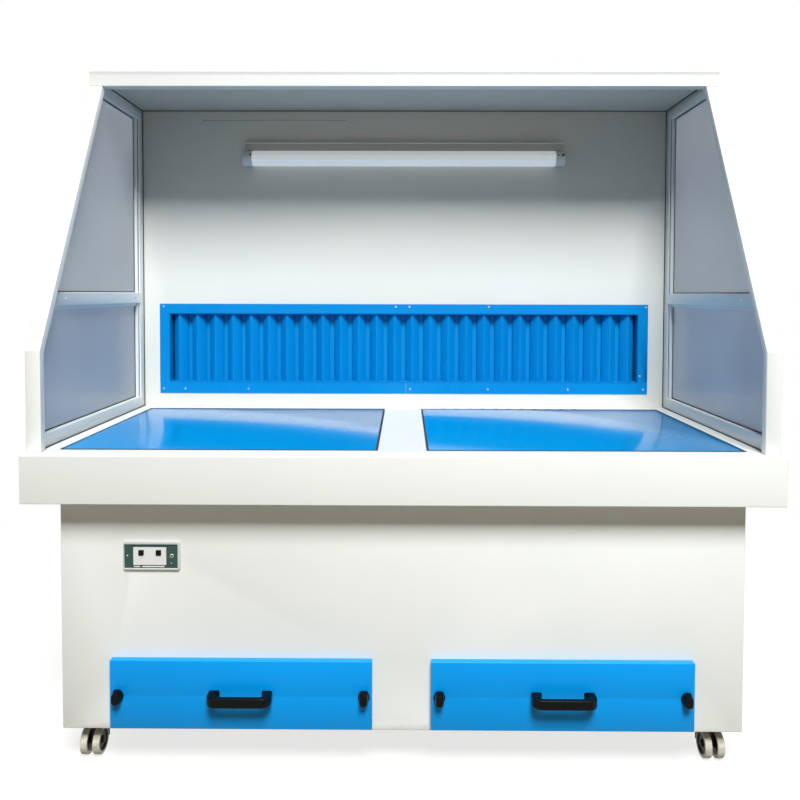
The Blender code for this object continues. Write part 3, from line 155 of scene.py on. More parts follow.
@dataclass
class Paint:
    """A material's node tree with its main shader, and the patterns that can be fed to it."""

    tree: bpy.types.NodeTree
    shader: bpy.types.Node
    places: bpy.types.NodeSocket

    @classmethod
    def of(cls, material: bpy.types.Material) -> "Paint":
        """Open a new material, with Object coordinates, which are metres in the bench's frame."""
        material.use_nodes = True
        tree = material.node_tree
        places = add_node(tree, "ShaderNodeTexCoord").outputs["Object"]
        return cls(tree, tree.nodes["Principled BSDF"], places)

    def add(self, kind: str, inputs: dict | None = None, **settings) -> bpy.types.Node:
        """Add a node to the tree."""
        return add_node(self.tree, kind, inputs, **settings)

    def feed(self, name: str, value: bpy.types.NodeSocket | float | tuple) -> None:
        """Link a pattern to a socket of the shader, or set the socket's value."""
        if isinstance(value, bpy.types.NodeSocket):
            self.tree.links.new(value, self.shader.inputs[name])
        else:
            self.shader.inputs[name].default_value = value

    def noise(self, size_mm: float, detail: float = 2.0, stretch: Place = (1, 1, 1)) -> bpy.types.NodeSocket:
        """Add a noise from 0 to 1.

        Args:
            size_mm: size of one blotch in millimetres.
            detail: how many finer layers it has.
            stretch: how much the coordinates are scaled along each axis.

        Returns:
            The noise.
        """
        scaled = self.add("ShaderNodeMapping", {"Vector": self.places, "Scale": stretch}).outputs["Vector"]
        inputs = {"Vector": scaled, "Scale": 1 / (size_mm * MILLIMETRE), "Detail": detail, "Roughness": 0.55}
        return self.add("ShaderNodeTexNoise", inputs).outputs["Fac"]

    def cells(self, size_mm: float, feature: str = "F1") -> bpy.types.Node:
        """Add a pattern of cells that are about size_mm apart."""
        inputs = {"Vector": self.places, "Scale": 1 / (size_mm * MILLIMETRE)}
        return self.add("ShaderNodeTexVoronoi", inputs, feature=feature)

    def spread(
        self, value: bpy.types.NodeSocket, low: float, high: float, start: float = 0.3, end: float = 0.7
    ) -> bpy.types.NodeSocket:
        """Map a value's middle range onto low to high.

        Args:
            value: the value to map.
            low: what start becomes.
            high: what end becomes.
            start: the lower input.
            end: the upper input.

        Returns:
            The mapped value.
        """
        inputs = {"Value": value, "From Min": start, "From Max": end, "To Min": low, "To Max": high}
        return self.add("ShaderNodeMapRange", inputs).outputs["Result"]

    def blend(
        self,
        share: bpy.types.NodeSocket,
        first: bpy.types.NodeSocket | str,
        second: bpy.types.NodeSocket | str,
    ) -> bpy.types.NodeSocket:
        """Mix two colours.

        Args:
            share: how much of the second colour shows.
            first: a hex colour or a colour socket.
            second: the same for the other colour.

        Returns:
            The mixed colour.
        """
        ends = [linear(colour) if isinstance(colour, str) else colour for colour in (first, second)]
        inputs = {0: share, 6: ends[0], 7: ends[1]}
        return self.add("ShaderNodeMix", inputs, data_type="RGBA").outputs[2]

    def product(self, first: bpy.types.NodeSocket, second: bpy.types.NodeSocket) -> bpy.types.NodeSocket:
        """Multiply two values."""
        return self.add("ShaderNodeMath", {0: first, 1: second}, operation="MULTIPLY").outputs[0]

    def relief(self, height: bpy.types.NodeSocket, depth_mm: float, strength: float) -> None:
        """Feed a height pattern from 0 to 1 to the shader's normal, depth_mm deep."""
        inputs = {"Height": height, "Distance": depth_mm * MILLIMETRE, "Strength": strength}
        self.feed("Normal", self.add("ShaderNodeBump", inputs).outputs["Normal"])


def seen_directly(tree: bpy.types.NodeTree) -> bpy.types.NodeSocket:
    """One for camera, glossy and transmission rays, and nought for rays that only light."""
    paths = add_node(tree, "ShaderNodeLightPath").outputs
    seen = paths["Is Camera Ray"]
    for kind in ("Is Glossy Ray", "Is Transmission Ray"):
        inputs = {0: seen, 1: paths[kind]}
        seen = add_node(tree, "ShaderNodeMath", inputs, operation="ADD", use_clamp=True).outputs[0]
    return seen


@dataclass(frozen=True)
class Finish:
    """What every finish has: its name, the record's slot it belongs to, its base colour and its roughness."""

    name: str
    slot: str
    colour: str
    roughness: float

    def material(self) -> bpy.types.Material:
        """Build the material, or return the one that is there already."""
        found = bpy.data.materials.get(self.name)
        if found:
            return found
        material = bpy.data.materials.new(self.name)
        paint = Paint.of(material)
        paint.feed("Base Color", linear(self.colour))
        paint.feed("Roughness", self.roughness)
        self.dress(paint)
        return material

    def dress(self, paint: Paint) -> None:
        """Add the finish's own patterns to its material."""
        raise NotImplementedError


@dataclass(frozen=True)
class PowderCoat(Finish):
    """Polyester powder coat on folded steel: satin, with a fine orange peel that breaks up its highlights."""

    thin_colour: str = "#FFFFFF"
    dust_colour: str = "#C9C6BC"
    cloud_mm: float = 260
    cloud_share: float = 0.5
    dust_mm: float = 34
    dust_share: float = 0.35
    dust_heights: Spans = (0.09, 0.16)
    wiped_mm: float = 90
    wiped_share: float = 1.0
    peel_mm: float = 2.6
    peel_depth_mm: float = 0.12
    peel_strength: float = 0.16
    specular: float = 0.5

    def dress(self, paint: Paint) -> None:
        """Clouds of thinner coat, dust near the floor, and orange peel."""
        clouds = paint.spread(paint.noise(self.cloud_mm, 3), 0, self.cloud_share)
        coat = paint.blend(clouds, self.colour, self.thin_colour)
        height = paint.add("ShaderNodeSeparateXYZ", {"Vector": paint.places}).outputs["Z"]
        low = paint.spread(height, self.dust_share, 0, *self.dust_heights)
        patches = paint.spread(paint.noise(self.dust_mm, 4), 0, 1, 0.42, 0.72)
        paint.feed("Base Color", paint.blend(paint.product(low, patches), coat, self.dust_colour))
        wiped = paint.noise(self.wiped_mm, 4, (1, 1, 0.35))
        smooth = self.roughness - 0.04 * self.wiped_share
        rough = self.roughness + 0.06 * self.wiped_share
        paint.feed("Roughness", paint.spread(wiped, smooth, rough))
        paint.feed("Specular IOR Level", self.specular)
        paint.relief(paint.noise(self.peel_mm, 1), self.peel_depth_mm, self.peel_strength)


@dataclass(frozen=True)
class FrostedAcrylic(Finish):
    """Cast acrylic sheet with a light satin face: the far side shows only as soft shapes."""

    haze_colour: str = "#D8E0E8"
    haze_mm: float = 420
    wiped_mm: float = 260
    clear_share: float = 0.55
    bending: float = 1.49
    tooth_mm: float = 1.8

    def dress(self, paint: Paint) -> None:
        """A faint haze that is uneven where the sheet was wiped, and its fine tooth."""
        wiped = paint.noise(self.wiped_mm, 1, (1, 0.5, 1))
        paint.feed("Roughness", paint.spread(wiped, self.roughness - 0.02, self.roughness + 0.03))
        haze = paint.spread(paint.noise(self.haze_mm, 1), 0, 0.6)
        paint.feed("Base Color", paint.blend(haze, self.colour, self.haze_colour))
        paint.feed("IOR", self.bending)
        paint.feed("Transmission Weight", self.clear_share)
        paint.relief(paint.noise(self.tooth_mm, 1), 0.04, 0.06)


@dataclass(frozen=True)
class MouldedPlastic(Finish):
    """Injection-moulded plastic with the fine spark-eroded grain of its mould."""

    grain_mm: float = 0.7
    grain_strength: float = 0.18
    faded_colour: str = "#3A3C40"
    faded_share: float = 0.25
    specular: float = 0.5
    glow: float = 0.0
    faded_mm: float = 22
    handled_mm: float = 14

    def dress(self, paint: Paint) -> None:
        """Slightly faded clouds, handled patches that shine more, and the mould's grain."""
        clouds = paint.spread(paint.noise(self.faded_mm, 3), 0, self.faded_share)
        paint.feed("Base Color", paint.blend(clouds, self.colour, self.faded_colour))
        handled = paint.noise(self.handled_mm, 3)
        paint.feed("Roughness", paint.spread(handled, self.roughness - 0.06, self.roughness + 0.07))
        paint.feed("Specular IOR Level", self.specular)
        # The glow feeds emission in the finish's own colour: painted light, as the part is no lit lamp.
        paint.feed("Emission Color", linear(self.colour))
        paint.feed("Emission Strength", self.glow)
        paint.relief(paint.noise(self.grain_mm, 1), 0.05, self.grain_strength)


@dataclass(frozen=True)
class GalvanisedSheet(Finish):
    """Hot-dip galvanised sheet: spangles of 9 mm that each reflect a little differently."""

    spangle_mm: float = 9.0
    bright_colour: str = "#C9CDD2"
    rolled_mm: float = 3.5

    def dress(self, paint: Paint) -> None:
        """Spangle cells in colour and roughness, with a light rolled relief."""
        spangles = paint.cells(self.spangle_mm).outputs["Color"]
        tone = paint.add("ShaderNodeSeparateColor", {"Color": spangles}).outputs["Red"]
        paint.feed("Base Color", paint.blend(tone, self.colour, self.bright_colour))
        paint.feed("Roughness", paint.spread(tone, self.roughness - 0.09, self.roughness + 0.09, 0, 1))
        paint.feed("Metallic", 1.0)
        paint.relief(paint.noise(self.rolled_mm, 2), 0.05, 0.10)


@dataclass(frozen=True)
class PlatedSteel(Finish):
    """Zinc-plated steel fastener: bright, with the tiny pits of barrel plating."""

    pit_colour: str = "#8E9296"
    pit_mm: float = 0.9
    flank_mm: float = 3

    def dress(self, paint: Paint) -> None:
        """Small pits, and a roughness that changes from flank to flank."""
        pits = paint.noise(self.pit_mm, 2)
        paint.feed("Base Color", paint.blend(paint.spread(pits, 0, 0.5), self.colour, self.pit_colour))
        flanks = paint.noise(self.flank_mm, 2)
        paint.feed("Roughness", paint.spread(flanks, self.roughness - 0.06, self.roughness + 0.1))
        paint.feed("Metallic", 1.0)
        paint.relief(pits, 0.03, 0.15)


@dataclass(frozen=True)
class FilterPaper(Finish):
    """Spun-bonded polyester filter medium: matt fibres, greyed by dust in its pleats."""

    dust_colour: str = "#B7B3A8"
    dust_mm: float = 45
    fibre_mm: float = 1.4

    def dress(self, paint: Paint) -> None:
        """Fibres run along the pleats, and blotches of caught dust lie over them."""
        dusty = paint.spread(paint.noise(self.dust_mm, 4), 0, 0.6, 0.4, 0.7)
        paint.feed("Base Color", paint.blend(dusty, self.colour, self.dust_colour))
        paint.feed("Sheen Weight", 0.2)
        paint.relief(paint.noise(self.fibre_mm, 3, (1, 0.25, 1)), 0.15, 0.35)


@dataclass(frozen=True)
class CastTread(Finish):
    """Cast polyurethane tread: cream, satin, and greyed where it rolls on a workshop floor."""

    rolled_colour: str = "#9C988A"
    scuff_mm: float = 9
    grain_mm: float = 1.1

    def dress(self, paint: Paint) -> None:
        """Scuffs stretched along the width of the wheel, over fine casting grain."""
        scuffs = paint.spread(paint.noise(self.scuff_mm, 4, (0.5, 1, 1)), 0, 0.7, 0.38, 0.74)
        paint.feed("Base Color", paint.blend(scuffs, self.colour, self.rolled_colour))
        paint.feed("Roughness", paint.spread(scuffs, self.roughness, self.roughness + 0.15, 0, 1))
        paint.relief(paint.noise(self.grain_mm, 2), 0.06, 0.25)


@dataclass(frozen=True)
class HammerPaint(Finish):
    """Hammered machine enamel: glossy dimples about 4 mm apart."""

    rim_colour: str = "#6E8094"
    dimple_mm: float = 4

    def dress(self, paint: Paint) -> None:
        """Rounded cells press the dimples in, and their rims are a little lighter."""
        dimples = paint.cells(self.dimple_mm, "SMOOTH_F1").outputs["Distance"]
        rims = paint.spread(dimples, 0, 0.5, 0.2, 0.7)
        paint.feed("Base Color", paint.blend(rims, self.colour, self.rim_colour))
        paint.relief(dimples, 0.25, 0.3)


class Look:
    """The finishes of the bench, each made once."""

    white = PowderCoat("powder_coat_white", "white_coat", "#EEF2EF", 0.42, thin_colour="#E8ECEA")
    # Back wall: the white coat made darker and warmer, as painted shade for the inside of the hood.
    wall_white = replace(white, name="powder_coat_off_white", colour="#E6E7E0", thin_colour="#E0E1DA")
    # Ceiling liner: the white coat made grey and warm, as painted shade under the roof.
    ceiling_white = replace(white, name="powder_coat_pale_grey", colour="#D6D4CA", thin_colour="#D0CEC4")
    # A grey copy of the white coat: painted shade on the light's base, which is white-coated steel.
    grey = replace(white, name="powder_coat_grey", colour="#B4B9B5", roughness=0.40, thin_colour="#ADB2AE")
    blue = PowderCoat(
        "powder_coat_blue", "blue_coat", "#009AEF", 0.34, thin_colour="#009EF3", dust_colour="#3E8FC4",
        cloud_share=0.8, peel_strength=0.12, specular=0.2,
    )
    # The intake's blue is the drawers' blue made darker: painted shade inside the hood.
    intake_blue = replace(
        blue, name="powder_coat_blue_deep", colour="#0088D0", roughness=0.30, thin_colour="#008CD4"
    )
    plate_blue = replace(
        blue, name="powder_coat_blue_gloss", colour="#0090D8", roughness=0.13, thin_colour="#0094DC",
        peel_strength=0.08, specular=0.4, wiped_share=0.3,
    )
    pane = FrostedAcrylic("acrylic_frosted", "pane", "#C3CBD4", 0.30)
    black = MouldedPlastic(
        "nylon_black", "black_plastic", "#0F1012", 0.40, faded_colour="#26282B", specular=0.25
    )
    grip_black = replace(
        black, name="nylon_black_satin", colour="#050608", roughness=0.28, faded_colour="#0E1013",
        grain_strength=0.1, specular=0.13,
    )
    rubber = replace(
        black, name="epdm_black", colour="#26282A", roughness=0.62, faded_colour="#3C3E40",
        grain_strength=0.2, specular=0.5,
    )
    white_plastic = MouldedPlastic(
        "abs_white", "white_plastic", "#E4E6E4", 0.38, faded_colour="#D6DAD8", grain_strength=0.08
    )
    bezel = replace(
        white_plastic, name="abs_light_grey", colour="#CDD2CE", roughness=0.40, faded_colour="#BFC5C1"
    )
    # The opal diffuser glows as if lit, though the batten is off: painted light.
    diffuser = replace(
        white_plastic, name="pmma_opal", colour="#F4F7F7", roughness=0.26, faded_colour="#EEF2F2",
        grain_strength=0.03, glow=0.32,
    )
    green = MouldedPlastic(
        "abs_dark_green", "green_plastic", "#22423D", 0.42, faded_colour="#2E524B", grain_strength=0.12
    )
    tread = CastTread("polyurethane_cream", "tread", "#DEDBCB", 0.45)
    zinc = GalvanisedSheet("galvanised_sheet", "zinc", "#A9AEB3", 0.40)
    plated = PlatedSteel("zinc_plated_steel", "zinc", "#E2E4E6", 0.42)
    paper = FilterPaper("spunbond_media", "filter_media", "#E4E2D8", 0.85)
    motor = HammerPaint("hammer_enamel", "motor_coat", "#40566E", 0.35)


# Surfaces


@dataclass
class Shell:
    """Points and faces of a surface."""

    points: np.ndarray
    faces: list[tuple[int, ...]]


def joined(shells: list[Shell]) -> Shell:
    """Put shells side by side in one mesh, each face list moved on by the points before it."""
    counts = np.cumsum([0] + [len(shell.points) for shell in shells])
    faces = [
        tuple(int(i) + int(start) for i in face)
        for shell, start in zip(shells, counts)
        for face in shell.faces
    ]
    return Shell(np.concatenate([shell.points for shell in shells]), faces)


def grid_faces(rows: int, columns: int, wrap_rows: bool = False, wrap_columns: bool = True) -> list[tuple]:
    """Quads of a grid: each joins a point to the next in its row and to the same two in the row after.

    Args:
        rows: how many rows of points there are.
        columns: how many points a row has.
        wrap_rows: whether the last row joins the first.
        wrap_columns: whether the last point of a row joins its first.

    Returns:
        Four point numbers for each quad.
    """
    row = np.arange(rows if wrap_rows else rows - 1)[:, None]
    column = np.arange(columns if wrap_columns else columns - 1)[None, :]
    after, beside = (row + 1) % rows, (column + 1) % columns
    corners = [
        row * columns + column, row * columns + beside, after * columns + beside, after * columns + column
    ]
    return [tuple(quad) for quad in np.stack(corners, -1).reshape(-1, 4).tolist()]


def loft(rings: np.ndarray, capped: bool = True, looped: bool = False) -> Shell:
    """Skin rings of points, given as (ring, point, xyz).

    Args:
        rings: the rings in order.
        capped: whether the first and last ring get a face.
        looped: whether the last ring joins the first.

    Returns:
        The skinned surface.
    """
    count, around = rings.shape[:2]
    faces = grid_faces(count, around, wrap_rows=looped)
    if capped and not looped:
        faces.append(tuple(range(around - 1, -1, -1)))
        faces.append(tuple(range((count - 1) * around, count * around)))
    return Shell(rings.reshape(-1, 3), faces)


def placed(flat: np.ndarray, along: np.ndarray | float, axis: Axis) -> np.ndarray:
    """Put points of the plane across an axis at places along it.

    Args:
        flat: first and second coordinate of each point.
        along: place or places along the axis.
        axis: the axis.

    Returns:
        Points in x, y and z.
    """
    both = np.concatenate([flat, np.broadcast_to(np.asarray(along)[..., None], (*flat.shape[:-1], 1))], -1)
    return both[..., list(axis.value)]


def turned(
    profile: list[tuple[float, float]],
    axis: Axis,
    centre: tuple[float, float],
    steps: int = 48,
    ring: bool = False,
) -> Shell:
    """Turn a profile about an axis: centre + radius times (cosine, sine), at its place along the axis.

    Args:
        profile: radius and place along the axis, from one end on the axis to the other.
        axis: the axis it turns about.
        centre: where the axis crosses its plane.
        steps: how many steps the circle has.
        ring: whether the profile is closed in itself, away from the axis.

    Returns:
        The turned surface, with its poles closed.
    """
    line = np.array(profile, float)
    angle = np.linspace(0, math.tau, steps, endpoint=False)
    radius = np.repeat(line[:, :1], steps, 1)
    flat = np.stack([centre[0] + radius * np.cos(angle), centre[1] + radius * np.sin(angle)], -1)
    return loft(placed(flat, np.broadcast_to(line[:, 1:], radius.shape), axis), capped=False, looped=ring)


def shifted(profile: Steps, start: float) -> list[tuple[float, float]]:
    """Move a profile, or the steps of a dome, along its axis."""
    return [(reach, start + along) for reach, along in profile]


def round_body(radius: float, face: float, steps: Steps) -> list[tuple[float, float]]:
    """Profile of a solid of revolution: out along its first end, over its edge and back to the axis.

    Args:
        radius: its radius.
        face: the place along the axis that the steps are counted from.
        steps: inset from the radius, and distance from the face, of each point of its edge.

    Returns:
        The profile, from the axis to the axis.
    """
    edge = [(radius - inset, face + along) for inset, along in steps]
    return [(0, edge[0][1]), *edge, (0, edge[-1][1])]


def stacked(rings: list[tuple[np.ndarray, float]], axis: Axis, looped: bool = False) -> Shell:
    """Skin outlines that each lie at their own place along an axis.

    Args:
        rings: outlines with as many points each, and their places.
        axis: the axis.
        looped: whether the last outline joins the first.

    Returns:
        The skinned surface.
    """
    return loft(np.stack([placed(ring, along, axis) for ring, along in rings]), looped=looped)


def pulled(outline: np.ndarray, axis: Axis, span: Spans) -> Shell:
    """Pull an outline straight from one end of a span to the other."""
    return stacked([(outline, place) for place in span], axis)


def rounded_corners(corners: np.ndarray | list, radius: float | list, steps: int = 5) -> np.ndarray:
    """Round the corners of a closed outline.

    Each corner becomes an arc that touches both of its edges: its ends lie radius times the tangent of half
    the turn away from the corner, and its centre lies square to them.

    Args:
        corners: corner points, in order.
        radius: one radius, or one for each corner.
        steps: how many steps each arc has.

    Returns:
        The points of the rounded outline.
    """
    points = np.asarray(corners, float)
    before, after = np.roll(points, 1, 0) - points, np.roll(points, -1, 0) - points
    before /= np.linalg.norm(before, axis=1, keepdims=True)
    after /= np.linalg.norm(after, axis=1, keepdims=True)
    opening = np.arccos(np.clip((before * after).sum(1), -1, 1))
    radii = np.broadcast_to(np.asarray(radius, float), opening.shape)
    middle = before + after
    middle /= np.maximum(np.linalg.norm(middle, axis=1, keepdims=True), 1e-12)
    centre = points + middle * (radii / np.sin(opening / 2))[:, None]
    start = points + before * (radii / np.tan(opening / 2))[:, None] - centre
    end = points + after * (radii / np.tan(opening / 2))[:, None] - centre
    share = np.linspace(0, 1, steps + 1)[None, :, None]
    turn = (math.pi - opening)[:, None, None]
    weights = np.sin((1 - share) * turn) / np.sin(turn), np.sin(share * turn) / np.sin(turn)
    arcs = centre[:, None] + weights[0] * start[:, None] + weights[1] * end[:, None]
    return arcs.reshape(-1, points.shape[1])


def rectangle(first: Spans, second: Spans) -> np.ndarray:
    """The four corners of a rectangle, anticlockwise."""
    return np.array(
        [(first[1], second[0]), (first[1], second[1]), (first[0], second[1]), (first[0], second[0])]
    )


def rounded_box(first: Spans, second: Spans, radius: float, steps: int = 5) -> np.ndarray:
    """A rectangle with round corners, anticlockwise."""
    return rounded_corners(rectangle(first, second), radius, steps)


def around(middle: float, half: float) -> Spans:
    """A span that reaches equally far to both sides of a middle."""
    return (middle - half, middle + half)


def outset(corners: np.ndarray, distance: float) -> np.ndarray:
    """Move a closed outline outwards.

    Each corner moves along the sum of its edges' unit normals, divided by one plus their dot product.

    Args:
        corners: the outline's corners, in either direction.
        distance: how far it moves, less than nothing for inwards.

    Returns:
        The moved corners.
    """
    points = np.asarray(corners, float)
    after = np.roll(points, -1, 0)
    area = (points[:, 0] * after[:, 1] - points[:, 1] * after[:, 0]).sum()
    edge = (after - points) / np.linalg.norm(after - points, axis=1, keepdims=True)
    normal = np.stack([edge[:, 1], -edge[:, 0]], -1) * np.sign(area)
    before = np.roll(normal, 1, 0)
    mitre = (normal + before) / (1 + (normal * before).sum(1, keepdims=True))
    return points + mitre * distance


def border(corners: np.ndarray, profile: np.ndarray, axis: Axis) -> Shell:
    """Carry a closed profile round an outline: each point is the outline moved out by its first number.

    Args:
        corners: the outline, across the axis.
        profile: closed list of (outwards, along the axis).
        axis: the axis that the outline faces.

    Returns:
        The mitred frame.
    """
    return stacked([(outset(corners, out), along) for out, along in profile], axis, looped=True)


def bar(
    inner: np.ndarray, outer: np.ndarray, across: Place, half_width: np.ndarray, power: float = 5.0
) -> Shell:
    """Loft rounded sections between two lines.

    Point = middle of the pair + bulge(cosine) times half the gap + bulge(sine) times the half width across,
    where bulge is the number's sign times its size to the power 2 / power.

    Args:
        inner: line of points on one side.
        outer: as many points on the other side.
        across: direction of the width.
        half_width: half width at each pair.
        power: 2 is an ellipse, and more is squarer.

    Returns:
        The bar, closed at both ends.
    """
    angle = np.linspace(0, math.tau, 32, endpoint=False)
    wave = np.stack([np.cos(angle), np.sin(angle)])
    bulge = np.sign(wave) * np.abs(wave) ** (2 / power)
    middle, gap = (inner + outer) / 2, (outer - inner) / 2
    rise = np.asarray(half_width)[:, None, None] * np.asarray(across)[None, None]
    return loft(middle[:, None] + bulge[0][None, :, None] * gap[:, None] + bulge[1][None, :, None] * rise)


def domed(
    middle: tuple[float, float],
    half: tuple[float, float],
    steps: list[tuple[float, float]],
    axis: Axis,
    power: float = 6.0,
) -> Shell:
    """Stack rings of a squared circle, each drawn in by its first number and placed by its second."""
    angle = np.linspace(0, math.tau, 40, endpoint=False)
    wave = np.stack([np.cos(angle), np.sin(angle)], -1)
    shape = np.sign(wave) * np.abs(wave) ** (2 / power)
    inset, along = np.asarray(steps, float).T
    size = np.asarray(half)[None] - inset[:, None]
    flat = np.asarray(middle)[None, None] + size[:, None] * shape[None]
    return loft(placed(flat, np.broadcast_to(along[:, None], flat.shape[:2]), axis))


def screw_head(
    foot: Place, axis: Axis, outward: int, radius: float = 0.0042, height: float = 0.0022
) -> Shell:
    """Pan head with a cross recess, on a polar grid.

    Height over the face = dome - recess. The dome is height times the square root of 1 - share of radius ^ 4,
    and the recess is half the height where the nearer arm of the cross is within a seventh of the radius.

    Args:
        foot: middle of its foot.
        axis: the axis that it stands along.
        outward: 1 or -1, the way it faces.
        radius: radius of the head.
        height: height of the head.

    Returns:
        The closed head, its foot sunk a little into the face.
    """
    share = np.array([0, 0.1, 0.15, 0.3, 0.45, 0.6, 0.64, 0.78, 0.9, 0.97, 1, 1, 0])[:, None]
    angle = np.linspace(0, math.tau, 32, endpoint=False)[None]
    reach = np.stack([np.abs(np.cos(angle)), np.abs(np.sin(angle))]) * share
    recess = 0.5 * (reach.min(0) < 0.14) * (share < 0.62)
    lift = height * (np.sqrt(np.clip(1 - share**4, 0, 1)) - recess)
    lift[-2:] = -0.2 * height
    flat = np.stack([radius * share * np.cos(angle), radius * share * np.sin(angle)], -1)
    return loft(placed(flat, outward * lift, axis) + np.asarray(foot), capped=False)


def spans(node: str) -> tuple[Spans, Spans, Spans]:
    """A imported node's spans along x, y and z."""
    return tuple(zip(*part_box(node)))


def middle_of(span: Spans) -> float:
    """The middle of a span."""
    return (span[0] + span[1]) / 2


# Pieces


def add_piece(
    name: str,
    shell: Shell,
    finish: Finish,
    stands_for: tuple[str, ...] = (),
    body: str = "bench",
    soft_edge_mm: float = 0.0,
) -> bpy.types.Object:
    """Make a piece of the bench from a surface, dress it and let it ride on its body.

    Args:
        name: the piece's name.
        shell: its surface, in the bench's frame.
        finish: what it is made of.
        stands_for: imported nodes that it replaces.
        body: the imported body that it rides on.
        soft_edge_mm: radius given to its sharp edges.

    Returns:
        The piece.
    """
    mesh = bpy.data.meshes.new(name)
    mesh.from_pydata(shell.points, [], shell.faces)
    shape = bmesh.new()
    shape.from_mesh(mesh)
    bmesh.ops.remove_doubles(shape, verts=shape.verts, dist=MERGE_DISTANCE / 10)
    bmesh.ops.dissolve_degenerate(shape, edges=shape.edges, dist=MERGE_DISTANCE / 10)
    bmesh.ops.recalc_face_normals(shape, faces=shape.faces)
    shape.to_mesh(mesh)
    shape.free()
    piece = bpy.data.objects.new(name, mesh)
    bpy.context.scene.collection.objects.link(piece)
    mesh.shade_smooth()
    if soft_edge_mm:
        soften(piece, soft_edge_mm * MILLIMETRE)
    else:
        mesh.set_sharp_from_angle(angle=CREASE_ANGLE)
    return attach(piece, finish, body, stands_for)


def soften(piece: bpy.types.Object, width: float) -> None:
    """Round a piece's sharp edges, with flat faces that stay flat in their shading."""
    bevel = piece.modifiers.new("soft_edges", "BEVEL")
    bevel.width = width
    bevel.segments = 2
    bevel.limit_method = "ANGLE"
    bevel.angle_limit = CREASE_ANGLE
    bevel.harden_normals = True
    bevel.use_clamp_overlap = True
    bevel.miter_outer = "MITER_ARC"


def attach(
    piece: bpy.types.Object, finish: Finish, body: str, stands_for: tuple[str, ...]
) -> bpy.types.Object:
    """Give a piece its finish and its body, and hide the nodes that it stands for."""
    piece.data.materials.clear()
    piece.data.materials.append(finish.material())
    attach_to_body(piece, body)
    if stands_for:
        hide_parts(*stands_for)
    logger.info("%s on %s", piece.name, body)
    return piece


@dataclass(frozen=True)
class SheetFold:
    """How a folded sheet's edges are rounded: outside radius of its bends, and the break of its cut edges."""

    bend: float = 2.2
    inner_bend: float = 0.5
    cut_edge: float = 0.35
    thin: float = 3.5
    segments: int = 3
    split_over: int = 4


def folded(node: str, frame: dict, finish: Finish, fold: SheetFold = SheetFold()) -> bpy.types.Object:
    """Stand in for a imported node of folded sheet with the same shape, its bends round and its edges broken.

    A face is a cut edge of the sheet where its area over half its outline is less than the thin width. An
    edge between two wide faces is a bend, and every other sharp edge is only broken.

    Args:
        node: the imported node.
        finish: what it is made of.
        fold: its radii, in millimetres.

    Returns:
        The piece.
    """
    source = frame["nodes"][node]
    shape = bmesh.new()
    shape.from_mesh(source.data)
    bmesh.ops.remove_doubles(shape, verts=shape.verts, dist=MERGE_DISTANCE)
    bmesh.ops.dissolve_limit(
        shape, angle_limit=FLAT_ANGLE, verts=shape.verts, edges=shape.edges, use_dissolve_boundaries=False
    )
    many_sided = [face for face in shape.faces if len(face.verts) > fold.split_over]
    width, share = {}, {}
    for face in shape.faces:
        half_outline = max(face.calc_perimeter() / 2, 1e-9)
        width[face.index] = face.calc_area() / half_outline / MILLIMETRE
    for edge in shape.edges:
        if len(edge.link_faces) != 2 or edge.calc_face_angle(0) < CREASE_ANGLE:
            continue
        is_cut = min(width[face.index] for face in edge.link_faces) < fold.thin
        bend = fold.bend if edge.is_convex else fold.inner_bend
        share[frozenset(edge.verts)] = (fold.cut_edge if is_cut else bend) / fold.bend
    bmesh.ops.triangulate(shape, faces=many_sided)
    weights = shape.edges.layers.float.new("bevel_weight_edge")
    for edge in shape.edges:
        edge[weights] = share.get(frozenset(edge.verts), 0.0)
    mesh = bpy.data.meshes.new(f"{node}_sheet")
    shape.to_mesh(mesh)
    shape.free()
    piece = bpy.data.objects.new(mesh.name, mesh)
    bpy.context.scene.collection.objects.link(piece)
    mesh.shade_smooth()
    bevel = piece.modifiers.new("folds", "BEVEL")
    bevel.width = fold.bend * MILLIMETRE
    bevel.segments = fold.segments
    bevel.limit_method = "WEIGHT"
    bevel.harden_normals = True
    bevel.use_clamp_overlap = False
    return attach(piece, finish, source["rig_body"], (node,))


# The studio


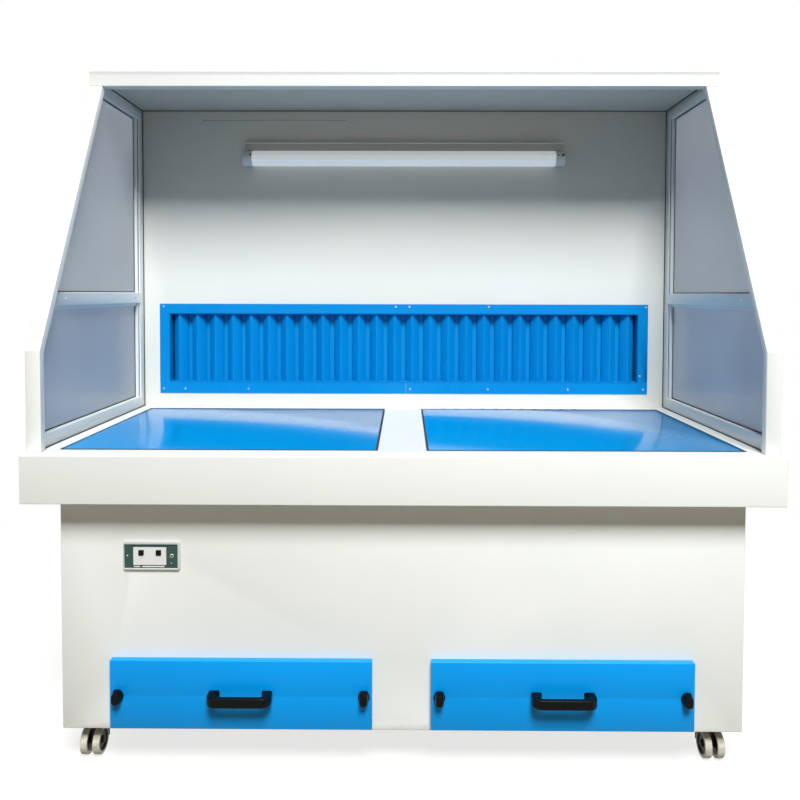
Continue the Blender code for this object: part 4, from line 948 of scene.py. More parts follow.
@dataclass
class Studio:
    """Camera at the photograph's angle, pale floor and soft light."""

    camera_place: Place = (0.008, -2.487, 1.289)
    pitch: float = -0.033
    yaw: float = 0.0072
    roll: float = -0.0023
    lens: float = 34.65
    sensor: float = 36.0
    shift: float = -0.101
    floor_colour: str = "#FBFAF7"
    sky_colour: str = "#F8F2E8"
    sky_strength: float = 0.08
    bounce_colour: str = "#857C6A"
    floor_half: float = 9.0
    floor_glow: float = 0.75
    fade: Spans = (1.2, 2.8)
    patch_mm: float = 700
    patch_colour: str = "#F6F5F1"
    lamp_size: float = 3.0
    key_place: Place = (0.9, -5.9, 8.0)
    key_target: Place = (0, 0, 1.1)
    key_power: float = 1160
    fill_place: Place = (4.5, 5.5, 4.0)
    fill_target: Place = (0, 0.3, 1.0)
    fill_power: float = 270

    def build(self) -> None:
        """Make the camera, the floor, the sky and the lamps."""
        self.add_camera()
        self.add_floor()
        self.light_sky()
        self.add_lamp("key_light", self.key_place, self.key_target, self.key_power)
        for side in Side:
            place = (side.value * self.fill_place[0], *self.fill_place[1:])
            fill = self.add_lamp(f"fill_{side.word}", place, self.fill_target, self.fill_power)
            fill.visible_transmission = False
        bpy.context.scene.view_settings.view_transform = "Standard"
        logger.info("studio ready")

    def add_camera(self) -> None:
        """Place the camera that sees the bench as the photograph does."""
        data = bpy.data.cameras.new("camera")
        data.lens = self.lens
        data.sensor_width = self.sensor
        data.shift_y = self.shift
        camera = bpy.data.objects.new("camera", data)
        camera.location = self.camera_place
        camera.rotation_euler = (math.pi / 2 + self.pitch, self.roll, self.yaw)
        bpy.context.scene.collection.objects.link(camera)
        bpy.context.scene.camera = camera

    def add_floor(self) -> None:
        """Lay a pale floor that keeps the bench's shadow and fades into a white background."""
        half = self.floor_half
        mesh = bpy.data.meshes.new("floor")
        mesh.from_pydata(
            [(-half, -half, 0), (half, -half, 0), (half, half, 0), (-half, half, 0)], [], [(0, 1, 2, 3)]
        )
        floor = bpy.data.objects.new("floor", mesh)
        bpy.context.scene.collection.objects.link(floor)
        material = bpy.data.materials.new("pale_floor")
        paint = Paint.of(material)
        paint.feed("Roughness", 0.9)
        patches = paint.spread(paint.noise(self.patch_mm, 3), 0, 0.5)
        pale = paint.blend(patches, self.floor_colour, self.patch_colour)
        from_camera = paint.add("ShaderNodeLightPath").outputs["Is Camera Ray"]
        paint.feed("Base Color", paint.blend(from_camera, self.bounce_colour, pale))
        distance = paint.add("ShaderNodeVectorMath", {0: paint.places}, operation="LENGTH").outputs["Value"]
        fade = paint.spread(distance, self.floor_glow, 1, *self.fade)
        share = paint.product(fade, seen_directly(paint.tree))
        white = paint.add("ShaderNodeEmission", {"Color": linear("#FFFFFF"), "Strength": 1.0}).outputs[0]
        mixed = paint.add("ShaderNodeMixShader", {0: share, 1: paint.shader.outputs[0], 2: white}).outputs[0]
        paint.tree.links.new(mixed, paint.tree.nodes["Material Output"].inputs["Surface"])
        mesh.materials.append(material)

    def light_sky(self) -> None:
        """Light evenly from all round, and show plain white behind the bench."""
        world = bpy.data.worlds.new("studio")
        bpy.context.scene.world = world
        world.use_nodes = True
        tree = world.node_tree
        tree.nodes.clear()
        soft = {"Color": linear(self.sky_colour), "Strength": self.sky_strength}
        white = {"Color": linear("#FFFFFF"), "Strength": 1.0}
        glows = [add_node(tree, "ShaderNodeBackground", inputs).outputs[0] for inputs in (soft, white)]
        mixed = add_node(tree, "ShaderNodeMixShader", {0: seen_directly(tree), 1: glows[0], 2: glows[1]})
        add_node(tree, "ShaderNodeOutputWorld", {"Surface": mixed.outputs[0]})

    def add_lamp(self, name: str, place: Place, target: Place, power: float) -> bpy.types.Object:
        """Hang a soft square lamp that faces a point.

        Args:
            name: the lamp's name.
            place: where it hangs.
            target: the point that it faces.
            power: its power in watts.

        Returns:
            The lamp.
        """
        data = bpy.data.lights.new(name, "AREA")
        data.shape = "SQUARE"
        data.size = self.lamp_size
        data.energy = power
        data.cycles.max_bounces = 2
        lamp = bpy.data.objects.new(name, data)
        lamp.location = place
        aim = Vector(target) - Vector(place)
        lamp.rotation_euler = aim.to_track_quat("-Z", "Y").to_euler()
        bpy.context.scene.collection.objects.link(lamp)
        return lamp


# Sub-assemblies


@dataclass
class SheetSteel:
    """Every folded sheet of the bench, with the finish that it has."""

    frame: dict
    white_nodes: tuple[str, ...] = (
        "cabinet_shell", "worktop_frame", "side_frame_left", "side_frame_right", "roof_cover"
    )
    blue_nodes: tuple[str, ...] = ("drawer_front_left", "drawer_front_right")
    plate_nodes: tuple[str, ...] = ("work_plate_left", "work_plate_right")
    zinc_nodes: tuple[str, ...] = (
        "drawer_tray_left", "drawer_tray_right", "drawer_runner_left_outer", "drawer_runner_left_inner",
        "drawer_runner_right_outer", "drawer_runner_right_inner", "filter_bulkhead",
    )

    def build(self) -> None:
        """Stand in for each folded node with round bends."""
        groups = (
            # The back panel's darker white is painted shade.
            (self.white_nodes, Look.white), (("back_panel",), Look.wall_white),
            # The ceiling liner's grey white is painted shade.
            (("ceiling_liner",), Look.ceiling_white), (self.blue_nodes, Look.blue),
            (self.plate_nodes, Look.plate_blue), (self.zinc_nodes, Look.zinc),
        )
        for nodes, finish in groups:
            for node in nodes:
                folded(node, self.frame, finish)


@dataclass
class Glazing:
    """Rubber gaskets that hold the panes, the bead under each crossbar, and the screws of the side frames."""

    front: float = -0.46
    post: float = 0.025
    lean: float = 0.5452
    knee: float = 1.1373
    levels: dict = field(default_factory=lambda: {"lower": (0.9053, 1.252), "upper": (1.292, 1.9287)})
    rear: float = 0.36
    inner_knee: float = 1.1309
    gasket_width: float = 0.0036
    gasket_reach: float = 0.0016
    bead_height: float = 0.009
    rear_bead: float = 0.017
    bead_rise: float = 0.011
    rear_seal: float = 0.005
    frame_face: float = 0.975
    screw_places: Spans = (-0.262, 0.31)
    screw_height: float = 1.274

    def slant(self, height: float) -> float:
        """Y of the slanted post's inner face at a height."""
        return self.front + (height - self.knee) * self.lean + self.post * math.hypot(1, self.lean)

    def window(self, level: str, rear_inset: float) -> np.ndarray:
        """Outline of a window in (y, z), its rear edge moved in by an inset."""
        bottom, top = self.levels[level]
        rear = self.rear - rear_inset
        upper = [(rear, bottom), (rear, top), (self.slant(top), top)]
        if level == "lower":
            start = self.front + self.post
            return np.array([(start, bottom), *upper, (start, self.inner_knee)])
        return np.array([(self.slant(bottom), bottom), *upper])

    def build(self) -> None:
        """Make the gaskets on both faces of each pane, the beads and the screws."""
        for side in Side:
            for level in self.levels:
                self.add_gasket(side, level)
                self.add_rear_bead(side, level)
            self.add_bead(side)
            feet = [(side.value * self.frame_face, place, self.screw_height) for place in self.screw_places]
            heads = [screw_head(foot, Axis.X, -side.value) for foot in feet]
            add_piece(f"crossbar_screw_{side.word}", joined(heads), Look.plated)

    def add_gasket(self, side: Side, level: str) -> None:
        """Carry a rounded section round the window, inside and outside the pane."""
        pane = sorted(abs(place) for place in spans(f"pane_{level}_{side.word}")[0])
        shells = []
        for face, away, inset in zip(pane, (-1, 1), (self.rear_bead, 0)):
            reach = face + away * self.gasket_reach
            section = rounded_box((-self.gasket_width, -0.0001), tuple(sorted((face, reach))), 0.0005, 3)
            shells.append(border(self.window(level, inset), section * (1, side.value), Axis.X))
        add_piece(f"gasket_{level}_{side.word}", joined(shells), Look.rubber)

    def add_rear_bead(self, side: Side, level: str) -> None:
        """Stand a white bead along the window's rear edge, with a black strip between it and the upright that
        paints the shadow gap there.
        """
        bottom, top = self.levels[level]
        pane = min(abs(place) for place in spans(f"pane_{level}_{side.word}")[0])
        x_span = side.across(pane - self.bead_rise, pane - PLAY)
        joint = self.rear - self.rear_seal
        tall = (bottom + 2 * HAIR, top - 2 * HAIR)
        bead = rounded_box(x_span, (self.rear - self.rear_bead + HAIR, joint - HAIR), 0.0015, 4)
        add_piece(f"rear_bead_{level}_{side.word}", pulled(bead, Axis.Z, tall), Look.white)
        # Black strip as painted shadow of the gap between bead and upright.
        seal = rounded_box(x_span, (joint, self.rear - HAIR), 0.0006, 3)
        add_piece(f"rear_seal_{level}_{side.word}", pulled(seal, Axis.Z, tall), Look.rubber)

    def add_bead(self, side: Side) -> None:
        """Lay a white glazing bead with round edges under the crossbar."""
        top = self.levels["lower"][1]
        pane = min(abs(place) for place in spans(f"pane_lower_{side.word}")[0])
        rear = self.rear - self.rear_bead - 0.001
        section = rounded_box((self.slant(top) + 0.004, rear), (top - self.bead_height, top - HAIR), 0.001)
        bead = pulled(section, Axis.X, side.across(pane - 0.006, pane - PLAY))
        add_piece(f"glazing_bead_{side.word}", bead, Look.white, soft_edge_mm=0.8)


@dataclass
class Intake:
    """Blue frame on the back wall, its row of V blades, and the channels behind their gaps."""

    blade_count: int = 26
    blade_width: float = 0.050
    blade_depth: float = 0.027
    sheet: float = 0.0015
    setback: float = 0.005
    channel_width: float = 0.035
    channel_flange: float = 0.012
    channel_setback: float = 0.040
    side_border: float = 0.038
    bottom_border: float = 0.043
    top_border: float = 0.037
    carrier: float = 0.002
    plate: float = 0.002
    seam: float = 0.010
    seam_gap: float = 0.0004
    screw: tuple[float, float] = (0.0038, 0.0018)
    screw_drop: float = 0.0105
    screw_rise: float = 0.0164
    side_screw: tuple[float, float] = (0.028, 0.068)
    top_screws: tuple[float, ...] = (-0.901, -0.028, 0.023, 0.320, 0.907)
    bottom_screws: tuple[float, ...] = (-0.901, -0.820, -0.582, 0.026, 0.318, 0.618, 0.900)

    def build(self) -> None:
        """Make the frame, both rows and the screws."""
        x_span, y_span, z_span = spans("louvre_frame")
        opening = (
            (x_span[0] + self.side_border, x_span[1] - self.side_border),
            (z_span[0] + self.bottom_border, z_span[1] - self.top_border),
        )
        self.add_frame(x_span, y_span, z_span, opening)
        face = y_span[0]
        pitch = (opening[0][1] - opening[0][0]) / self.blade_count
        middles = opening[0][0] + pitch * (np.arange(self.blade_count) + 0.5)
        gaps = opening[0][0] + pitch * np.arange(1, self.blade_count)
        self.add_row("front_blade_row", self.blade(face + self.setback), middles)
        self.add_row("rear_blade_row", self.channel(face + self.channel_setback), gaps)
        feet = [(place, face, z_span[1] - self.screw_drop) for place in self.top_screws]
        feet += [(place, face, z_span[0] + self.screw_rise) for place in self.bottom_screws]
        feet.append((x_span[1] - self.side_screw[0], face, z_span[0] + self.side_screw[1]))
        heads = [screw_head(foot, Axis.Y, -1, *self.screw) for foot in feet]
        add_piece("intake_screws", joined(heads), Look.plated)

    def add_frame(self, x_span: Spans, y_span: Spans, z_span: Spans, opening: tuple[Spans, Spans]) -> None:
        """Carry a flange round the opening: a flat face with a bent lip and a collar behind it."""
        face, rear = y_span
        plate = self.plate
        collar = np.array([(0, face), (plate, face), (plate, rear), (0, rear)])
        collar = rounded_corners(collar, [0.0012, 0.0001, 0.0004, 0.0004], 4)
        shells = [border(rectangle(*opening), collar, Axis.Y)]
        lips = (
            (x_span, (opening[1][1], z_span[1])),
            ((x_span[0], opening[0][0]), opening[1]),
            ((opening[0][1], x_span[1]), opening[1]),
            ((x_span[0], self.seam - self.seam_gap), (z_span[0], opening[1][0])),
            ((self.seam + self.seam_gap, x_span[1]), (z_span[0], opening[1][0])),
        )
        for first, second in lips:
            shells.append(pulled(rectangle(first, second), Axis.Y, (face, face + plate)))
        # The frame and both blade rows take the darker blue, painted shade for the hood's inside.
        add_piece("intake_frame", joined(shells), Look.intake_blue, ("louvre_frame",), soft_edge_mm=0.35)

    def blade(self, fold: float) -> np.ndarray:
        """A V of bent sheet in (x, y) about nought, with a round fold."""
        half = self.blade_width / 2
        thick = self.sheet * math.hypot(1, self.blade_depth / half)
        rear = fold + self.blade_depth
        corners = [
            (0, fold), (half, rear), (half, rear + thick), (0, fold + thick), (-half, rear + thick),
            (-half, rear),
        ]
        bend, inner_bend, cut = 0.0026, 0.0012, 0.0003
        return rounded_corners(corners, [bend, cut, cut, inner_bend, cut, cut], 5)

    def channel(self, face: float) -> np.ndarray:
        """A channel of bent sheet in (x, y) about nought, with two round bends."""
        half = self.channel_width / 2
        inner = half - self.sheet
        rear = face + self.channel_flange
        corners = [
            (-half, face), (half, face), (half, rear), (inner, rear), (inner, face + self.sheet),
            (-inner, face + self.sheet), (-inner, rear), (-half, rear),
        ]
        bend, inner_bend, cut = 0.0022, 0.0008, 0.0003
        return rounded_corners(corners, [bend, bend, cut, cut, inner_bend, inner_bend, cut, cut], 4)

    def add_row(self, node: str, section: np.ndarray, places: np.ndarray) -> None:
        """Pull the section up once for each place, between a bottom and a top carrier strip."""
        x_span, y_span, z_span = spans(node)
        tall = (z_span[0] + self.carrier / 2, z_span[1] - self.carrier / 2)
        shells = [pulled(section + (place, 0), Axis.Z, tall) for place in places]
        outline = rounded_box(x_span, y_span, 0.001, 3)
        shells.append(pulled(outline, Axis.Z, (z_span[0], z_span[0] + self.carrier)))
        shells.append(pulled(outline, Axis.Z, (z_span[1] - self.carrier, z_span[1])))
        add_piece(f"{node}_bent", joined(shells), Look.intake_blue, (node,))


@dataclass
class BattenLight:
    """Batten light on the back wall: a folded base, a ribbed opal diffuser and two end caps with screws."""

    nose: float = 0.0275
    back_step: float = 0.016
    cap_width: float = 0.036
    hem: tuple[float, float] = (0.0035, 0.0024)
    base_edge: float = 0.0003
    base_bend: float = 0.0025
    cap_inner: Steps = ((0.0009, 0.0), (0.0, 0.0006))
    cap_outer: Steps = ((0.0, 0.003), (0.0012, 0.0008), (0.004, 0.0))
    screw: Steps = ((0, -0.0006), (0, 0.003))
    screw_height: float = 1.32
    ribs: int = 5
    rib_depth: float = 0.0016
    end_screws: dict = field(
        default_factory=lambda: {
            Side.LEFT: ((0.031, 0.0034),),
            Side.RIGHT: ((0.011, 0.0044), (0.027, 0.0024)),
        }
    )

    def build(self) -> None:
        """Make the base, the diffuser and the end caps."""
        self.add_base()
        x_span, y_span, z_span = spans("light_diffuser")
        section = self.section(y_span, z_span, 0.0)
        ribbed = self.section(y_span, z_span, self.rib_depth)
        inner = (x_span[0] + self.cap_width, x_span[1] - self.cap_width)
        # The diffuser's glow is painted light.
        add_piece("light_diffuser_opal", pulled(ribbed, Axis.X, inner), Look.diffuser, ("light_diffuser",))
        height = z_span[0] + self.nose * self.screw_height
        for side, end in zip(Side, x_span):
            near = end - side.value * self.cap_width
            steps = [(inset, near + side.value * along) for inset, along in self.cap_inner]
            steps += [(inset, end - side.value * along) for inset, along in self.cap_outer]
            cap = stacked([(outset(section, -inset), along) for inset, along in steps], Axis.X)
            add_piece(f"light_end_{side.word}", cap, Look.white_plastic)
            heads = []
            for inset, radius in self.end_screws[side]:
                head = round_body(radius, y_span[0], self.screw)
                heads.append(turned(head, Axis.Y, (end - side.value * inset, height), 24))
            add_piece(f"light_end_screw_{side.word}", joined(heads), Look.rubber)

    def add_base(self) -> None:
        """Fold the base, with one round bend at its upper front edge, and hang a white hem over it: the
        base's grey is painted shade on white steel, so the hem reads as its lit top edge.
        """
        x_span, y_span, z_span = spans("light_base")
        radii = [self.base_edge, self.base_edge, self.base_bend, self.base_edge]
        base = pulled(rounded_corners(rectangle(y_span, z_span), radii), Axis.X, x_span)
        # Grey base: painted shade on white-coated steel.
        add_piece("light_base_folded", base, Look.grey, ("light_base",), soft_edge_mm=0.5)
        high, out = self.hem
        hem = rounded_box((y_span[0] - out, y_span[0] + 0.001), (z_span[1] - high, z_span[1]), 0.0009, 3)
        add_piece("light_base_hem", pulled(hem, Axis.X, x_span), Look.white)

    def section(self, y_span: Spans, z_span: Spans, rib_depth: float) -> np.ndarray:
        """Outline in (y, z): a half-round nose whose radius shrinks by a wave of ribs, then straight runs."""
        rear, front = y_span[1], y_span[0]
        angle = np.linspace(math.pi / 2, math.pi * 3 / 2, 81)
        centre = front + self.nose
        middle = z_span[0] + self.nose
        reach = self.nose - rib_depth * (0.5 - 0.5 * np.cos(2 * self.ribs * (angle - math.pi / 2)))
        arc = np.stack([centre + reach * np.cos(angle), middle + reach * np.sin(angle)], -1)
        bottom = [(centre + 0.006, z_span[0]), (rear, z_span[0] + self.back_step), (rear, z_span[1])]
        return np.concatenate([arc, np.array(bottom)])


@dataclass
class ControlPanel:
    """Light bezel with a dark green plate, two push buttons and a ring-shaped indicator."""

    rims: tuple[float, float, float, float] = (0.0030, 0.0065, 0.0050, 0.0085)
    corner: float = 0.006
    floor: float = 0.0022
    ring_radius: float = 0.0050
    ring_inset: float = 0.0165
    screw_inset: float = 0.0075
    rise: float = 0.0010
    mark_place: tuple[float, float] = (0.0180, 0.004)
    bar_drop: float = 0.0046
    bar_half: float = 0.0016
    bar_spans: tuple[Spans, Spans] = ((0.024, 0.0845), (0.001, 0.0185))
    bar_depth: Spans = (-0.0008, 0.0004)
    screw: tuple[float, float] = (0.0024, 0.0011)
    mark: tuple[float, float] = (0.0015, 0.0008)
    shoulder: Steps = ((0, 0.0022), (-0.0004, 0.0010), (-0.0012, 0.0003), (-0.0022, 0))
    window_edge: Steps = ((0.0010, 0), (0.0003, 0.0003), (0, 0.0010))
    crown: Steps = ((0, 0.0014), (0.0003, 0.0007), (0.0009, 0.0003), (0.0020, 0.0001), (0.0045, 0))
    ring: Steps = ((1, 0), (1, -0.0008), (0.88, -0.0012), (0.72, -0.0012), (0.66, -0.0007), (0.66, 0))
    lens: Steps = ((0, 0), (0.64, 0), (0.6, -0.0004), (0, -0.0007))

    def build(self) -> None:
        """Make the bezel, the plate, the buttons, the indicator and the bars under the module."""
        x_span, y_span, z_span = spans("control_panel")
        left, right, bottom, top = self.rims
        window = ((x_span[0] + left, x_span[1] - right), (z_span[0] + bottom, z_span[1] - top))
        self.add_bezel(x_span, y_span, z_span, window)
        plate_face = y_span[1] - self.floor
        module_x, _, module_z = spans("control_module")
        hole, outer = outset(rectangle(module_x, module_z), PLAY), rectangle(*window)
        back = y_span[1] - HAIR
        rings = [(outer, plate_face), (hole, plate_face), (hole, back), (outer, back)]
        add_piece("control_plate", stacked(rings, Axis.Y, looped=True), Look.green)
        for side in Side:
            self.add_button(side)
        self.add_details(plate_face, module_x, module_z, window)

    def add_bezel(self, x_span: Spans, y_span: Spans, z_span: Spans, window: tuple[Spans, Spans]) -> None:
        """Loft the bezel from its outer edge over a round shoulder to the edge of its window."""
        face, back = y_span
        outer = rounded_box(x_span, z_span, self.corner, 6)
        inner = rounded_box(*window, 0.0015, 6)
        rings = [(outer, back)]
        rings += [(outset(outer, out), face + along) for out, along in self.shoulder]
        rings += [(outset(inner, out), face + along) for out, along in self.window_edge]
        rings.append((inner, back))
        add_piece("control_bezel", stacked(rings, Axis.Y, looped=True), Look.bezel, ("control_panel",))

    def add_button(self, side: Side) -> None:
        """A square button with round edges and a slight crown."""
        node = f"push_button_{side.word}"
        x_span, y_span, z_span = spans(node)
        half = ((x_span[1] - x_span[0]) / 2, (z_span[1] - z_span[0]) / 2)
        steps = [(0, y_span[1]), *shifted(self.crown, y_span[0])]
        cap = domed((middle_of(x_span), middle_of(z_span)), half, steps, Axis.Y, 8)
        add_piece(f"{node}_cap", cap, Look.grip_black, (node,), f"button_{side.word}")

    def add_details(self, plate_face: float, module_x: Spans, module_z: Spans, window: tuple) -> None:
        """Add the ring indicator, the bars under the module, and the plate's two screws."""
        height = middle_of(module_z) + self.rise
        centre = (window[0][1] - self.ring_inset, height)
        ring = [(self.ring_radius * share, plate_face + along) for share, along in self.ring]
        lens = [(self.ring_radius * share, plate_face + along) for share, along in self.lens]
        add_piece("indicator_ring", turned(ring, Axis.Y, centre, 40, ring=True), Look.plated)
        add_piece("indicator_lens", turned(lens, Axis.Y, centre, 32), Look.rubber)
        tall = around(module_z[0] - self.bar_drop, self.bar_half)
        names = ("indicator_bar_white", "indicator_bar_grey")
        for name, finish, (start, end) in zip(names, (Look.white_plastic, Look.bezel), self.bar_spans):
            outline = rounded_box((module_x[0] + start, module_x[0] + end), tall, 0.0012)
            deep = (plate_face + self.bar_depth[0], plate_face + self.bar_depth[1])
            add_piece(name, pulled(outline, Axis.Y, deep), finish, soft_edge_mm=0.25)
        foot = (window[0][0] + self.screw_inset, plate_face, height)
        mark = (window[0][1] - self.mark_place[0], plate_face, module_z[0] + self.mark_place[1])
        heads = [screw_head(foot, Axis.Y, -1, *self.screw), screw_head(mark, Axis.Y, -1, *self.mark)]
        add_piece("control_screws", joined(heads), Look.plated)


@dataclass
class DustDrawer:
    """What a drawer front carries: a moulded bridge handle and two quarter-turn latches."""

    side: Side
    corner: float = 0.024
    grip: float = 0.015
    leg: float = 0.022
    foot: float = 0.030
    leg_steps: tuple[float, ...] = (0.0, 0.0009, 0.004, 0.010)
    foot_break: float = 0.0006
    knob_radius: float = 0.016
    knob_depth: float = 0.025
    flange: Steps = ((0, 0), (0, -0.0022), (0.0012, -0.0034))
    paddle: tuple[float, float] = (0.021, 0.031)
    paddle_foot: Steps = ((-0.0032, -0.003), (-0.0022, -0.009))
    paddle_crown: Steps = ((-0.0002, 0.0040), (0.0004, 0.0018), (0.0014, 0.0005), (0.0030, 0))
    shaft_radius: float = 0.004
    tongue_half: float = 0.006
    tongue_sheet: float = 0.003

    def build(self) -> None:
        """Make the handle and both latches."""
        word = self.side.word
        x_span, y_span, z_span = spans(f"drawer_handle_{word}")
        self.add_handle(x_span, y_span, z_span)
        for place in ("outer", "inner"):
            self.add_latch(f"{word}_{place}")

    def add_handle(self, x_span: Spans, y_span: Spans, z_span: Spans) -> None:
        """Loft flat-faced sections from foot to foot: up the leg, round the corner and along the grip."""
        middle, height = middle_of(x_span), middle_of(z_span)
        half = (x_span[1] - x_span[0]) / 2
        front, face = y_span
        steps = 9
        turn = np.linspace(0, math.pi / 2, steps)
        outer_x = half - self.corner + self.corner * np.cos(turn)
        outer_arc = np.stack([outer_x, front + self.corner - self.corner * np.sin(turn)], -1)
        inner_radius = self.corner - self.grip
        inner_x = half - self.leg - inner_radius
        inner_arc = np.stack(
            [inner_x + inner_radius * np.cos(turn), front + self.grip + inner_radius * (1 - np.sin(turn))], -1
        )
        leg = np.array(self.leg_steps)
        flare = (self.foot - self.leg) * np.clip(1 - leg / leg[-1], 0, 1) ** 2
        broken = np.where(leg == 0, self.foot_break, 0)
        outer_leg = np.stack([half - broken, face - leg], -1)
        inner_leg = np.stack([half - self.leg - flare + broken, face - leg], -1)
        grip = np.stack([np.linspace(half - self.corner, 0, 4, endpoint=False)[1:], np.full(3, front)], -1)
        inner_grip = np.stack(
            [np.linspace(inner_x, 0, 4, endpoint=False)[1:], np.full(3, front + self.grip)], -1
        )
        outer_line = np.concatenate([outer_leg, outer_arc, grip, [(0, front)]])
        inner_line = np.concatenate([inner_leg, inner_arc, inner_grip, [(0, front + self.grip)]])
        outer_line = np.concatenate([outer_line, outer_line[-2::-1] * (-1, 1)])
        inner_line = np.concatenate([inner_line, inner_line[-2::-1] * (-1, 1)])
        breadth = np.full(len(outer_line), (z_span[1] - z_span[0]) / 2)
        lift = (middle, 0)
        lines = [placed(line + lift, height, Axis.Z) for line in (inner_line, outer_line)]
        shell = bar(*lines, (0, 0, 1), breadth, 7)
        body = f"drawer_{self.side.word}"
        node = f"drawer_handle_{self.side.word}"
        add_piece(f"{node}_moulded", shell, Look.grip_black, (node,), body)

    def add_latch(self, place: str) -> None:
        """A round flange with an oval paddle on it, and the shaft and tongue behind the front."""
        node = f"drawer_latch_{place}"
        x_span, y_span, z_span = spans(node)
        centre = (middle_of(x_span), z_span[0] + self.knob_radius)
        front, rear = y_span
        face = front + self.knob_depth
        steps = shifted(self.paddle_foot, face) + shifted(self.paddle_crown, front)
        half = (self.paddle[0] / 2, self.paddle[1] / 2)
        shaft = round_body(self.shaft_radius, 0, ((0, face - 0.002), (0, rear - self.tongue_sheet / 2)))
        tongue = rounded_box(
            around(centre[0], self.tongue_half), (centre[1] - self.tongue_half, z_span[1]), 0.0015
        )
        shells = [
            turned(round_body(self.knob_radius, face, self.flange), Axis.Y, centre),
            domed(centre, half, steps, Axis.Y, 3.2),
            turned(shaft, Axis.Y, centre, 24),
            pulled(tongue, Axis.Y, (rear - self.tongue_sheet, rear)),
        ]
        add_piece(f"{node}_moulded", joined(shells), Look.grip_black, (node,), f"latch_{place}")


@dataclass
class Filters:
    """Two pleated cartridges, closed at the front by a cap with a nut."""

    pleats: int = 110
    pleat_depth: float = 0.020
    cap: float = 0.012
    cap_edge: float = 0.003
    bore: float = 0.090
    nut: Steps = ((0, -0.001), (0.008, -0.001), (0.0095, 0), (0.0095, 0.0035), (0, 0.0035))

    def build(self) -> None:
        """Make the pleats, the caps and the nut of each."""
        for side in Side:
            node = f"filter_cartridge_{side.word}"
            x_span, y_span, z_span = spans(node)
            centre = (middle_of(x_span), middle_of(z_span))
            radius = (x_span[1] - x_span[0]) / 2
            self.add_pleats(node, centre, radius, (y_span[0] + self.cap * 0.5, y_span[1] - self.cap * 0.5))
            self.add_caps(side, centre, radius, y_span)

    def add_pleats(self, node: str, centre: tuple[float, float], radius: float, span: Spans) -> None:
        """Pull a zigzag between the caps: its radius falls by up to the pleat depth, in a rounded wave."""
        angle = np.linspace(0, math.tau, self.pleats * 6, endpoint=False)
        wave = np.sin(self.pleats * angle)
        reach = radius - self.cap_edge - self.pleat_depth * (0.5 - 0.5 * np.sign(wave) * np.abs(wave) ** 0.8)
        outer = np.stack([centre[0] + reach * np.cos(angle), centre[1] + reach * np.sin(angle)], -1)
        inner = np.stack([centre[0] + self.bore * np.cos(angle), centre[1] + self.bore * np.sin(angle)], -1)
        rings = [(outer, span[0]), (outer, span[1]), (inner, span[1]), (inner, span[0])]
        add_piece(f"{node}_pleats", stacked(rings, Axis.Y, looped=True), Look.paper, (node,))

    def add_caps(self, side: Side, centre: tuple[float, float], radius: float, span: Spans) -> None:
        """Turn a pressed end cap, an open ring at the mouth, and a nut on the rod."""
        front, rear = span
        edge, end = self.cap_edge, front + self.cap
        cap = [
            (0, front + edge), (radius * 0.3, front + edge), (radius * 0.34, front), (radius - edge, front),
            (radius - 0.001, front + 0.001), (radius, front + edge), (radius, end), (0, end),
        ]
        bore, start = self.bore, rear - self.cap
        mouth = [(bore, rear), (radius - edge, rear), (radius, rear - edge), (radius, start), (bore, start)]
        shells = [turned(cap, Axis.Y, centre, 96), turned(mouth, Axis.Y, centre, 96, ring=True)]
        add_piece(f"filter_caps_{side.word}", joined(shells), Look.zinc)
        nut = turned(shifted(self.nut, front), Axis.Y, centre, 6)
        add_piece(f"filter_nut_{side.word}", nut, Look.plated)


